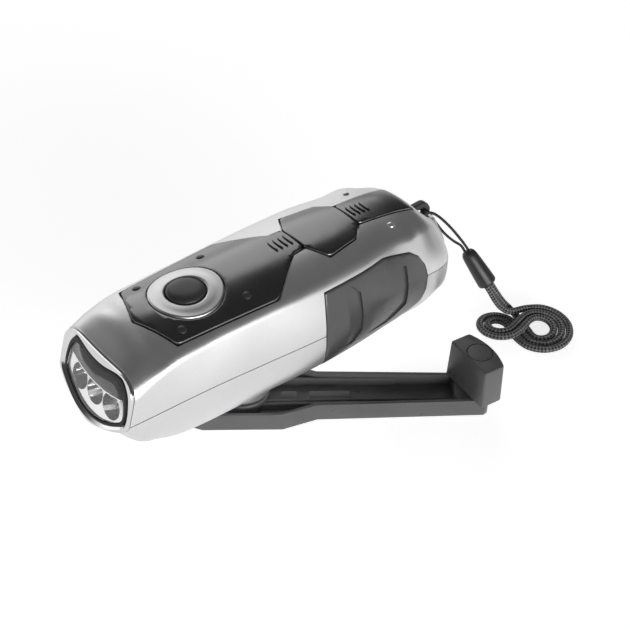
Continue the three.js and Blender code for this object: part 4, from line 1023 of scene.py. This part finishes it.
def before_face():
    """All that lies in front of the curved face."""
    nothing_selected()
    bpy.ops.mesh.primitive_grid_add(x_subdivisions=CUTTER_CUTS, y_subdivisions=2, size=CUTTER_SIZE)
    made = grow_up(bpy.context.object, 0, CUTTER_HEIGHT)

    def bend(points):
        low = points[:, 2] < 1
        points[low, 2] = face_curve(points[low, 0], FACE_CURVE - FACE_SETBACK)
        return points

    shift_points(made, bend)
    made.data.transform(FACE_FRAME)
    return made


PANEL_PROUD = 0.4
PANEL_DEPTH = 0.9
PANEL_GAP = 0.5
PANEL_CORNER = 1.5
FRONT_PANEL = mirrored([
    (0, -39), (15.3, -33.4), (17.4, 2.2), (6.2, 16.6), (5.8, 21.4), (0, 21.4),
])
INSERT = mirrored([
    (0, 21.7), (5.3, 21.7), (12.8, 26.4), (10.9, 39.2), (6.3, 43.8), (0, 43.8),
])
STRIP = mirrored([(0, 44.1), (6.2, 44.1), (7.2, 67.5), (0, 67.5)])
BUTTON_Y = -19.7
BUTTON_R = 6.05
BUTTON_WELL = (45, 70)
RING_R = 11.6
GRIP = [
    (18.9, 19.5), (18.0, 23), (16.5, 30), (15.9, 38.5), (16.6, 46), (17.6, 52.6),
    (43.2, 52.6), (54.6, 50), (58.3, 47), (60.8, 42.8), (61.8, 38), (61.6, 32.5),
    (60, 28), (56.6, 25), (48.4, 21.5),
]
GRIP_DEPTH = 1.0
GRIP_PROUD = 0.2
SCREW_PLACES = [(-13.5, -36), (13.5, -36), (-12.5, 56.5), (12.5, 56.5)]
SCREW_WELL_R = 2.2
SCREW_SEAT_Z = 30
RECESS_STEP = 0.04
# How far apart pieces are cut across and along so that they can bend.
RECESS_CUTS = (1.5, 2.0)
GRIP_RECESS_CUTS = (1.5, 1.5)
PANEL_CUTS = (1.0, 1.6)
GRIP_CUTS = (1.2, 1.2)
LUG_SLOT = ((-1.5, 1.5), (71.2, 90), (40.5, 49.1))


def over_top(points):
    points[:, 2] += top_z(points[:, 0], points[:, 1])
    return points


def over_side(points):
    """Lays a piece drawn in Y and Z on the casing's side."""
    y, z, out = points.T.copy()
    return np.stack([side_x(y, z) + out, y, z], axis=1)


def top_recess(outline, depth):
    made = slab("recess", grown(outline, PANEL_GAP), -depth, OVERRUN)
    return shift_points(sliced(made, *RECESS_CUTS), over_top)


def side_recess():
    made = slab("recess", grown(GRIP, GAP), -GRIP_DEPTH - GAP, OVERRUN)
    return shift_points(sliced(made, *GRIP_RECESS_CUTS), over_side)


def flipped(made):
    """The same piece on the other side."""
    made.data.transform(Matrix.Scale(-1, 4, (1, 0, 0)))
    edit(made)
    face_outwards()
    return made


def post(r, low, high, x, y, sides=48):
    nothing_selected()
    bpy.ops.mesh.primitive_cylinder_add(
        radius=r, depth=high - low, vertices=sides, location=(x, y, (low + high) / 2),
    )
    bpy.ops.object.transform_apply(location=True, rotation=False, scale=False)
    return bpy.context.object


def cuboid(x, y, z):
    nothing_selected()
    bpy.ops.mesh.primitive_cube_add(size=1)
    made = bpy.context.object
    spans = [b - a for a, b in (x, y, z)]
    centre = [(a + b) / 2 for a, b in (x, y, z)]
    made.data.transform(Matrix.Translation(centre) @ Matrix.Diagonal((*spans, 1)))
    return made


def make_casing():
    upper = casing_skin("upper_casing", upper_half, UPPER_GRID)
    lower = casing_skin("lower_casing", lower_half, LOWER_GRID)
    grips = [side_recess(), flipped(side_recess())]
    upper_tools = joined(
        top_recess(FRONT_PANEL, PANEL_DEPTH + GAP),
        top_recess(STRIP, PANEL_DEPTH + GAP),
        *[copy_of(tool, "grip_recess") for tool in grips],
    )
    upper_more = joined(
        top_recess(INSERT, PANEL_DEPTH + GAP + RECESS_STEP),
        post(BUTTON_R + GAP, *BUTTON_WELL, 0, BUTTON_Y),
        cuboid(*LUG_SLOT),
    )
    wells = joined(*[post(SCREW_WELL_R, 0, SCREW_SEAT_Z, x, y, 32) for x, y in SCREW_PLACES])
    for made, tools, node in (
        (upper, [before_face(), upper_tools, upper_more], "upper_shell"),
        (lower, [before_face(), joined(*grips), wells], "lower_shell"),
    ):
        way = slab("lens_way", front_outline(RIM_HALF, -GAP - COLLAR), LENS_WAY_LOW, OVERRUN)
        way.data.transform(FACE_FRAME)
        for tool in (*tools, way):
            boolean(made, tool)
        settled(made, "housing", SILVER, "silver_casing", node, angle_deg=30)


make_casing()

# --- Panels, switch and studs on the top ---

PANEL_EDGE = 0.4
NECK_RIDGES = (13.6, 15.6, 17.6, 19.6)
STRIP_RIDGES = (46.0, 48.0, 50.0, 52.0)
RIDGE_TOP = 0.9
RIDGE_EDGE = 0.13
RIDGE_LEAF = [(-2.7, -0.08), (-1.7, -0.3), (0, -0.36), (1.7, -0.3), (2.7, -0.08)]
STUD_R = 1.5
STUD_RISE = 0.42
STUD_SLIMMING = -0.3
STUD_PROFILE = [
    (0, -0.5), (STUD_R, -0.5), (STUD_R, -0.08), (STUD_R * 0.9, STUD_RISE * 0.16),
    (STUD_R * 0.7, STUD_RISE * 0.58), (STUD_R * 0.4, STUD_RISE * 0.88), (0, STUD_RISE),
]
# Name, places, how far each stands out, how tall it is drawn, its finish and its slot.
STUDS = [
    ("panel_stud", [(-12, -29.5), (12, -29.5), (-12, -5.8), (12, -5.8)], PANEL_PROUD, 1.0,
     BUTTON_PLASTIC, "dark_plastic"),
    ("casing_stud", [(-11.3, 53.8), (11.3, 53.8)], 0.05, 1.5, SILVER, "silver_casing"),
]
RING_PROFILE = [
    (6.45, -0.9), (11.6, -0.9), (11.6, 0.25), (11.5, 0.48), (11.3, 0.6), (11.05, 0.62),
    (10.8, 0.54), (9.0, 0.5), (7.3, 0.46), (6.9, 0.38), (6.6, 0.18), (6.45, -0.1),
]
BUTTON_TOP = 0.35
BUTTON_SIDE = 0.35
BUTTON_RISE = 0.85
BUTTON_POWERS = (0.62, 1.15)
BUTTON_DOME_POINTS = 12
# Radius and height over the button's foot.
BUTTON_STEM = [(0, 0), (2.0, 0), (2.0, 2.1), (7.4, 2.1), (7.4, 3.3), (6.05, 3.3)]


def ridges(places):
    """Small round-backed ridges across a panel."""
    made = []
    for y in places:
        leaf = [(x, y + w) for x, w in RIDGE_LEAF] + [(x, y - w) for x, w in RIDGE_LEAF[::-1]]
        made.append(slab("ridge", leaf, 0, RIDGE_TOP))
        chamfer(made[-1], RIDGE_EDGE, 2, at_top(RIDGE_TOP), 40)
    return joined(*made)


def top_panel(name, outline, node, ridge_places=(), hole=None):
    made = slab(name, outline, -PANEL_DEPTH, PANEL_PROUD)
    chamfer(made, PANEL_CORNER, 3, upright)
    if hole:
        boolean(made, hole)
    chamfer(made, PANEL_EDGE, 2, at_top(PANEL_PROUD))
    if ridge_places:
        boolean(made, ridges(ridge_places), "UNION")
    shift_points(sliced(made, *PANEL_CUTS), over_top)
    settled(made, "housing", BLACK, "black_panels", node, angle_deg=28)


def make_top_panels():
    way = post(RING_R + GAP, -OVERRUN, OVERRUN, 0, BUTTON_Y, 96)
    top_panel("front_top_panel", FRONT_PANEL, "front_panel", NECK_RIDGES, way)
    top_panel("insert_panel", INSERT, "rear_insert")
    top_panel("tail_panel", STRIP, "tail_strip", STRIP_RIDGES)


def make_studs():
    dome = turned_profile("stud", STUD_PROFILE, 32)
    for name, places, proud, stretch, finish, slot in STUDS:
        for number, (x, y) in enumerate(places, 1):
            slope = top_z(x + 0.5, y) - top_z(x - 0.5, y)
            rise = top_z(x, y + 0.5) - top_z(x, y - 0.5)
            out = Vector((-slope, -rise, 1)).normalized()
            place = Matrix.Translation(Vector((x, y, top_z(x, y))) + out * proud)
            turn = Vector((0, 0, 1)).rotation_difference(out).to_matrix().to_4x4()
            slim = stretch**STUD_SLIMMING
            taller = Matrix.Diagonal((slim, slim, stretch, 1))
            made = copy_of(dome, f"{name}_{number}")
            settled(made, "housing", finish, slot, angle_deg=60, matrix=place @ turn @ taller)
    bpy.data.objects.remove(dome)


def make_switch():
    place = Matrix.Translation((0, BUTTON_Y, 0))
    ring = turned_profile("ring_round_switch", RING_PROFILE, 128)
    ring.data.transform(place)
    shift_points(ring, over_top)
    settled(ring, "housing", SATIN_RING, "ring_metal", "switch_ring", angle_deg=35)
    shoulder = float(top_z(0.0, BUTTON_Y)) + BUTTON_TOP
    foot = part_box("power_button")[0][2] / MM
    side, rise = shoulder - BUTTON_SIDE, BUTTON_RISE + BUTTON_SIDE
    dome = [
        (BUTTON_R * math.cos(t) ** BUTTON_POWERS[0], side + rise * math.sin(t) ** BUTTON_POWERS[1])
        for t in np.linspace(0, math.pi / 2, BUTTON_DOME_POINTS)[:-1]
    ]
    stem = [(r, z + foot) for r, z in BUTTON_STEM]
    button = turned_profile("push_button", [*stem, *dome, (0, shoulder + BUTTON_RISE)], 96)
    settled(button, "button", BUTTON_PLASTIC, "dark_plastic", "power_button", matrix=place)


make_top_panels()
make_studs()
make_switch()

# --- Side grips ---

GRIP_EDGE = 0.45
SMALL_SCOOP = [
    (24.9, 28.2), (28.0, 27.4), (31.1, 32.6), (31.1, 47.2), (27.9, 50.9), (24.7, 50.2),
    (25.2, 45.5), (25.3, 33.0),
]
LARGE_SCOOP = [
    (35.2, 28.0), (44.2, 27.2), (52.2, 31.2), (52.2, 46.6), (44.2, 50.2), (35.0, 50.4),
    (35.4, 45.0), (35.5, 33.2),
]
SCOOP_START = 0.08
SCOOP_END = 0.8
SCOOP_POWER = 0.8


def finger_scoop(outline):
    """A tool for a finger's place in the grip: it deepens from its front edge to its rear."""
    front, rear = min(outline)[0], max(outline)[0]

    def tilt(points):
        low = points[:, 2] < 0
        share = (points[low, 0] - front) / (rear - front)
        points[low, 2] = GRIP_PROUD - SCOOP_START - (SCOOP_END - SCOOP_START) * share**SCOOP_POWER
        return points

    return shift_points(slab("scoop", outline, -1.0, OVERRUN), tilt)


def make_grips():
    right = slab("grip_right_side", GRIP, -GRIP_DEPTH, GRIP_PROUD)
    chamfer(right, SMALL_BEVEL, 2, upright)
    chamfer(right, GRIP_EDGE, 3, at_top(GRIP_PROUD))
    boolean(right, joined(finger_scoop(SMALL_SCOOP), finger_scoop(LARGE_SCOOP)))
    shift_points(sliced(right, *GRIP_CUTS), over_side)
    edit(right)
    face_outwards()
    left = flipped(copy_of(right, "grip_left_side"))
    settled(right, "housing", RUBBER, "grip_rubber", "right_grip", angle_deg=28)
    settled(left, "housing", RUBBER, "grip_rubber", "left_grip", angle_deg=28)


make_grips()

# --- Front end: heights are over the face ---

FACE_CUTS = 1.2
RIM_DEPTH = 0.8
RIM_FLARE = (1.075, 1.1, 1)
RIM_EDGE = 0.25
RIM_OVER = 0.05
BEZEL_DEPTH = 3.4
GASKET_SPAN = (-2.6, -0.4)
GASKET_EDGE = 0.3
# Painted shade: a dark sheet of gasket rubber over the upper part behind the lens, where there is
# only shadow and dark reflection.
SHADE_SHEET_LAP = 0.2
SHADE_SHEET_SPAN = (-2.28, -2.06)
SHADE_SHEET_HALF = [(0, 0.1), (4, 0.3), (8, 0.85), (12, 1.8), (16.4, 3.0)]
SHADE_SHEET_EDGE = [(-x, y) for x, y in SHADE_SHEET_HALF[:0:-1]] + SHADE_SHEET_HALF
SHADE_SHEET_CUT = [(25, 3.0), (25, -20), (-25, -20), (-25, 3.0)]
LIP_SPAN = (-2.4, -2.02)
LIP_GAP = 0.1
LIP_WIDTH = 0.5
LIP_EDGE = 0.12
LENS_SPAN = (-2.0, -0.6)
LENS_EDGE = 0.25
REFLECTOR_SPAN = (-11.8, -2.3)
REFLECTOR_BORDER = 1.5
FLANGE_LOW = -2.9
LAMP_DROP = 3.0
LAMP_PLACES = {"left": -8.4, "middle": 0.0, "right": 8.4}
CUP_MOUTH = 4.1
CUP_THROAT = 1.9
CUP_FLARE = 0.1
CUP_POINTS = 14
LED_R = 1.45
LED_LENGTH = 4.6
LED_FLANGE = 0.25
LED_FOOT = (0.5, 0.6)
LED_DOME_POINTS = 9


def to_face(made):
    """Bends a flat piece round the face's curve and puts it in place."""
    def bend(points):
        points[:, 2] += face_curve(points[:, 0])
        return points

    shift_points(sliced(made, FACE_CUTS), bend)
    made.data.transform(FACE_FRAME)
    return made


def cup_tool(x):
    low, high = REFLECTOR_SPAN
    curve = [
        (CUP_THROAT + (CUP_MOUTH - CUP_THROAT) * s**0.5, low + (high - low) * s)
        for s in np.linspace(0.0, 1, CUP_POINTS)
    ]
    made = turned_profile("cup", [
        (0, low - OVERRUN), (CUP_THROAT, low - OVERRUN), *curve,
        (CUP_MOUTH + CUP_FLARE, OVERRUN), (0, OVERRUN),
    ], 48)
    made.data.transform(Matrix.Translation((x, -LAMP_DROP, 0)))
    return made


def make_bezel():
    bezel = slab("front_bezel", skin_outline(), -RIM_DEPTH, 0)
    collar = slab("collar", front_outline(RIM_HALF, -COLLAR), -BEZEL_DEPTH, -RIM_DEPTH / 2)
    boolean(bezel, collar, "UNION")
    way = slab("way", front_outline(RIM_HALF), -BEZEL_DEPTH - OVERRUN, -RIM_DEPTH)
    edit(way)
    pick(way, "faces", at_top(-RIM_DEPTH))
    bpy.ops.mesh.extrude_region_move(TRANSFORM_OT_translate={"value": (0, 0, RIM_DEPTH + RIM_OVER)})
    bpy.ops.transform.resize(value=RIM_FLARE)
    leave_edit()
    boolean(bezel, way)
    chamfer(bezel, RIM_EDGE, 2, at_top(0), 40)
    settled(to_face(bezel), "housing", CHROME, "bezel_chrome", "lens_bezel")


def make_gasket():
    """The seal round the lens, with a dark sheet that hides the upper part behind it: painted shade
    for the shadow and dark reflection there.
    """
    seal = slab("front_gasket", front_outline(RIM_HALF, GAP / 2), *GASKET_SPAN)
    low, high = GASKET_SPAN
    boolean(seal, slab("tool", front_outline(LENS_HALF), low - OVERRUN, high + OVERRUN))
    chamfer(seal, GASKET_EDGE, 2, at_top(high), 40)
    # Painted shade: this dark sheet stands in for the shadow behind the lens's upper part.
    shade_sheet = slab("shade_sheet", front_outline(LENS_HALF, -SHADE_SHEET_LAP), *SHADE_SHEET_SPAN)
    boolean(shade_sheet, slab("below", [*SHADE_SHEET_EDGE, *SHADE_SHEET_CUT], -OVERRUN, OVERRUN))
    boolean(seal, shade_sheet, "UNION")
    settled(to_face(seal), "housing", GASKET, "gasket_rubber", "lens_gasket")


def make_reflector():
    low, high = REFLECTOR_SPAN
    bowl = slab("lamp_reflector", front_outline(LENS_HALF, REFLECTOR_BORDER), low, high)
    flange = slab("flange", front_outline(LENS_HALF, GAP), FLANGE_LOW, high + NEAR)
    boolean(bowl, flange, "UNION")
    ends = [(x, y - LIP_GAP) for x, y in SHADE_SHEET_EDGE[1:-1]]
    lip = slab("lip", ends + [(x, y - LIP_WIDTH) for x, y in reversed(ends)], *LIP_SPAN)
    chamfer(lip, LIP_EDGE, 2, at_top(LIP_SPAN[1]), 40)
    for x in LAMP_PLACES.values():
        boolean(bowl, cup_tool(x))
    boolean(bowl, lip, "UNION")
    to_face(bowl)
    settled(bowl, "housing", MIRROR, "reflector_plating", "reflector", angle_deg=35)


def make_front():
    make_bezel()
    make_gasket()
    window = slab("front_lens", front_outline(LENS_HALF, GAP / 2), *LENS_SPAN)
    chamfer(window, LENS_EDGE, 2, at_top(LENS_SPAN[1]), 40)
    settled(to_face(window), "housing", CLEAR, "clear_lens", "lens")
    make_reflector()
    low = REFLECTOR_SPAN[0] - GAP
    tip = low + LED_LENGTH
    dome = [
        (LED_R * math.cos(t), tip - LED_R + LED_R * math.sin(t))
        for t in np.linspace(0, math.pi / 2, LED_DOME_POINTS)[:-1]
    ]
    foot = LED_R + LED_FLANGE
    bulb = turned_profile("lamp", [
        (0, low), (foot, low), (foot, low + LED_FOOT[0]), (LED_R, low + LED_FOOT[1]), *dome,
        (0, tip),
    ], 32)
    for name, x in LAMP_PLACES.items():
        place = FACE_FRAME @ Matrix.Translation((x, -LAMP_DROP, 0))
        made = copy_of(bulb, f"{name}_lamp")
        settled(made, "housing", LAMP, "led_resin", f"led_{name}", matrix=place)
    bpy.data.objects.remove(bulb)


make_front()

# --- Crank: the arm is drawn along Y, then turned ---

ARM_TURN = Matrix.Rotation(math.radians(-38.5), 4, "Z")
ARM_HEIGHT = 6.9
ARM_FLOOR = 2.4
ARM_ROOT = ARM_FLOOR - 0.6
BLOCK_START = 71.5
ARM_OUTLINE = mirrored([
    (0, -22), (9.7, -22), (12.9, -13.3), (12.9, 13.3), (8.4, 25), (6.9, 81.4), (5.7, 82.6),
    (0, 82.6),
])
ARM_CHANNEL = mirrored([
    (0, -20.6), (8.7, -20.6), (11.5, -13.0), (11.5, 12.9), (7.0, 24.7), (5.78, BLOCK_START),
    (0, BLOCK_START),
])
ARM_EDGE = 0.22
BOSS_R = 8.9
HUB_CLEAR_R = 6
KNOB_RADIUS = 78.6
KNOB_TURN = Matrix.Rotation(math.radians(29.9), 4, "Z")
KNOB_BASE = 7.6
KNOB_TOP = 22.6
KNOB_DRAFT = 1.06
KNOB_HALF = 9.5
KNOB_FLAT_Y = -4.9
KNOB_BACK_Y = 2.8
KNOB_BULGE = 2.1
KNOB_POINTS = 25
KNOB_EDGES = (0.8, 0.55, 0.4)
# Ribs and blocks in the arm's channel: sides, ends, top, bevel and where the bevelled edges start.
ARM_STRIPS = [
    ((-6.8, -5.8), (4.4, 52), 5.5, 0.18, 5.5),
    ((3.5, 4.5), (4.4, 71.45), 5.5, 0.18, 5.5),
    ((5.0, 6.0), (4.4, 52), 5.5, 0.18, 5.5),
    ((-0.6, 3.2), (13, 18), 5.0, 0.22, 2.3),
    ((-0.6, 3.2), (22.3, 36), 5.0, 0.22, 2.3),
]
# Holes: radius, low, high, place across and along, and sides.
ARM_HOLES = [
    (4.9, -OVERRUN, 3.4, 0, 0, 64),
    (1.6, 0, 9, 0, 0, 32),
    (3.4, 4.4, 12, 0, 0, 48),
    (2.3, 2.4, 12, 0, KNOB_RADIUS, 48),
]
KNOB_HOLES = [
    (2.3, 0, KNOB_TOP, 0, 0, 32),
    (3.3, 19.9, KNOB_TOP + 1, 0, 0, 32),
    (4.42, 21.4, KNOB_TOP + OVERRUN, 0, 0, 64),
]
HUB_COVER = [(0, 0.25), (2.6, 0.2), (3.4, 0), (4.3, 0), (4.6, 0.3), (4.6, 1.2), (0, 1.2)]
HUB_SEAL = [(3.3, 7.2), (7.3, 7.2), (7.6, 7.4), (7.6, 7.7), (7.3, 7.9), (3.3, 7.9)]
HUB_COLLAR = [(5.3, 8.2), (8.8, 8.2), (9.3, 8.7), (9.3, 14.6), (5.3, 14.6)]
KNOB_COVER = [(0, 21.7), (4.2, 21.7), (4.2, 22.42), (4.02, 22.58), (3.7, 22.62), (0, 22.62)]


def make_arm():
    arm = slab("crank_arm_channel", ARM_OUTLINE, 0, ARM_HEIGHT)
    chamfer(arm, SMALL_BEVEL, 3, upright)
    tray = slab("tray", ARM_CHANNEL, ARM_FLOOR, ARM_HEIGHT + OVERRUN)
    chamfer(tray, SMALL_BEVEL, 2, upright)
    boolean(arm, tray)
    for sides, ends, top, bevel, edges_from in ARM_STRIPS:
        strip = cuboid(sides, ends, (ARM_ROOT, top))
        chamfer(strip, bevel, 2, at_top(edges_from))
        boolean(arm, strip, "UNION")
    boss = post(BOSS_R, ARM_ROOT, ARM_HEIGHT, 0, 0, 96)
    chamfer(boss, SMALL_BEVEL, 3, at_top(ARM_HEIGHT))
    boolean(arm, boss, "UNION")
    for hole in ARM_HOLES:
        boolean(arm, post(*hole))

    def outer_rim(edge):
        middle = middle_of(edge)
        return middle.z > ARM_HEIGHT - NEAR and middle.xy.length > BOSS_R + 1

    def underside(edge):
        middle = middle_of(edge)
        return abs(middle.z) < NEAR and middle.xy.length > HUB_CLEAR_R

    chamfer(arm, ARM_EDGE, 2, outer_rim, 60)
    chamfer(arm, SMALL_BEVEL, 2, underside, 60)
    settled(arm, "crank", PLASTIC, "dark_plastic", "crank_arm", matrix=ARM_TURN)
    cap = turned_profile("hub_cover", HUB_COVER, 48)
    settled(cap, "crank", PLASTIC, "dark_plastic", "hub_cap", matrix=ARM_TURN)
    seal = turned_profile("hub_sealing_washer", HUB_SEAL, 64)
    settled(seal, "crank", SWITCH_CASE, "dark_plastic", "hub_washer")
    collar = turned_profile("crank_collar", HUB_COLLAR, 96)
    settled(collar, "housing", SILVER, "silver_casing")


def make_knob():
    back = [
        (KNOB_HALF * s, KNOB_BACK_Y + KNOB_BULGE * (1 - s * s))
        for s in np.linspace(1, -1, KNOB_POINTS)
    ]
    front = [(-KNOB_HALF, KNOB_FLAT_Y), (KNOB_HALF, KNOB_FLAT_Y)]
    knob = slab("crank_knob", [*front, *back], KNOB_BASE, KNOB_TOP)

    def draft(points):
        points[points[:, 2] < KNOB_BASE + 1, :2] *= KNOB_DRAFT
        return points

    shift_points(knob, draft)
    side_edge, top_edge, low_edge = KNOB_EDGES
    chamfer(knob, side_edge, 4, upright, 30)
    chamfer(knob, top_edge, 3, at_top(KNOB_TOP), 40)
    chamfer(knob, low_edge, 2, lambda e: middle_of(e).z < KNOB_BASE + NEAR, 40)
    for hole in KNOB_HOLES:
        boolean(knob, post(*hole))
    place = ARM_TURN @ Matrix.Translation((0, KNOB_RADIUS, 0)) @ KNOB_TURN
    settled(knob, "knob_grip", PLASTIC, "dark_plastic", "knob", angle_deg=28, matrix=place)
    cap = turned_profile("knob_cover", KNOB_COVER, 64)
    settled(cap, "knob_grip", PLASTIC, "dark_plastic", "knob_cap", matrix=place)


make_arm()
make_knob()

# --- Lug and bead ---

LUG_HALF = 1.2
LUG_CORNER = 1.0
LUG_EDGE = 0.4
LUG_LOW = (71.5, 40.8)
LUG_SIZE = (11.3, 8.0)
LUG_OUTLINE = [
    (0, 0), (0.7, 0), (0.85, 0.1), (0.97, 0.3), (1, 0.56), (0.86, 0.87), (0.72, 1),
    (0.36, 0.98), (0, 0.93),
]
LUG_HOLE = [(0.42, 0.73), (0.72, 0.3), (0.81, 0.4), (0.83, 0.54), (0.7, 0.75)]
LUG_BURIED_TO = 74
BEAD_TOP = Vector((11.1, 93.3, 27))
BEAD_END = Vector((19, 97.6, 15))
BEAD_UPPER = [(0, -0.15), (1.3, -0.05), (2.0, 0.35), (2.5, 1.1), (2.78, 2.3), (2.92, 4), (3.25, 9)]
# Radius, and height over the lower end.
BEAD_LOWER = [(3.5, -1.1), (3.5, -0.5), (3.3, -0.1), (3.0, 0), (2.8, -0.3), (2.7, -1.6), (0, -1.6)]


def lug_slab(name, shares, half):
    points = [[a + b * c for a, b, c in zip(LUG_LOW, LUG_SIZE, share)] for share in shares]
    return slab(name, points, -half, half)


def make_lug():
    lug = lug_slab("cord_lug", LUG_OUTLINE, LUG_HALF)
    chamfer(lug, LUG_CORNER, 3, lambda e: upright(e) and middle_of(e).x > LUG_BURIED_TO)
    tool = lug_slab("hole", LUG_HOLE, OVERRUN)
    chamfer(tool, SMALL_BEVEL, 3, upright)
    boolean(lug, tool)
    chamfer(lug, LUG_EDGE, 3, lambda e: abs(middle_of(e).z) > LUG_HALF - NEAR, 60)
    standing = Matrix(((0, 0, 1, 0), (1, 0, 0, 0), (0, 1, 0, 0), (0, 0, 0, 1)))
    settled(lug, "housing", LUG_PLASTIC, "dark_plastic", "lanyard_lug", matrix=standing)


def make_bead():
    way = BEAD_END - BEAD_TOP
    lower = [(r, way.length + z) for r, z in BEAD_LOWER]
    bead = turned_profile("cord_bead", [*BEAD_UPPER, *lower], 64)
    return settled(
        bead, "housing", LUG_PLASTIC, "black_bead", "lanyard_bead",
        matrix=aimed(BEAD_TOP, way, "X"),
    )


make_lug()
make_bead()

# --- Finishes of the pieces inside ---

CAD_FINISHES = {
    STEEL: (
        "crank_shaft crank_screw knob_pin axle_pin_1 axle_pin_2 stator_cup_lower "
        "stator_cup_upper board_screw_1 board_screw_2 plate_screw_1 plate_screw_2 "
        "case_screw_1 case_screw_2 case_screw_3 case_screw_4"
    ),
    PLATE: "gear_plate",
    BRASS: "shaft_bush rotor_pinion",
    MAGNET: "rotor_magnet",
    NYLON: "drive_gear compound_gear_1 compound_gear_2",
    BOARD: "main_board led_board",
    SWITCH_CASE: "tact_switch",
    SLEEVE: "smoothing_capacitor",
    CELL: "battery_cell_1 battery_cell_2 battery_cell_3",
    WIRE_RED: "lamp_lead battery_lead generator_lead",
    COIL: "stator_coil",
}
for finish, names in CAD_FINISHES.items():
    for name in names.split():
        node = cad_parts[name]
        if not node.material_slots:
            node.data.materials.append(finish)
        for place in node.material_slots:
            place.material = finish
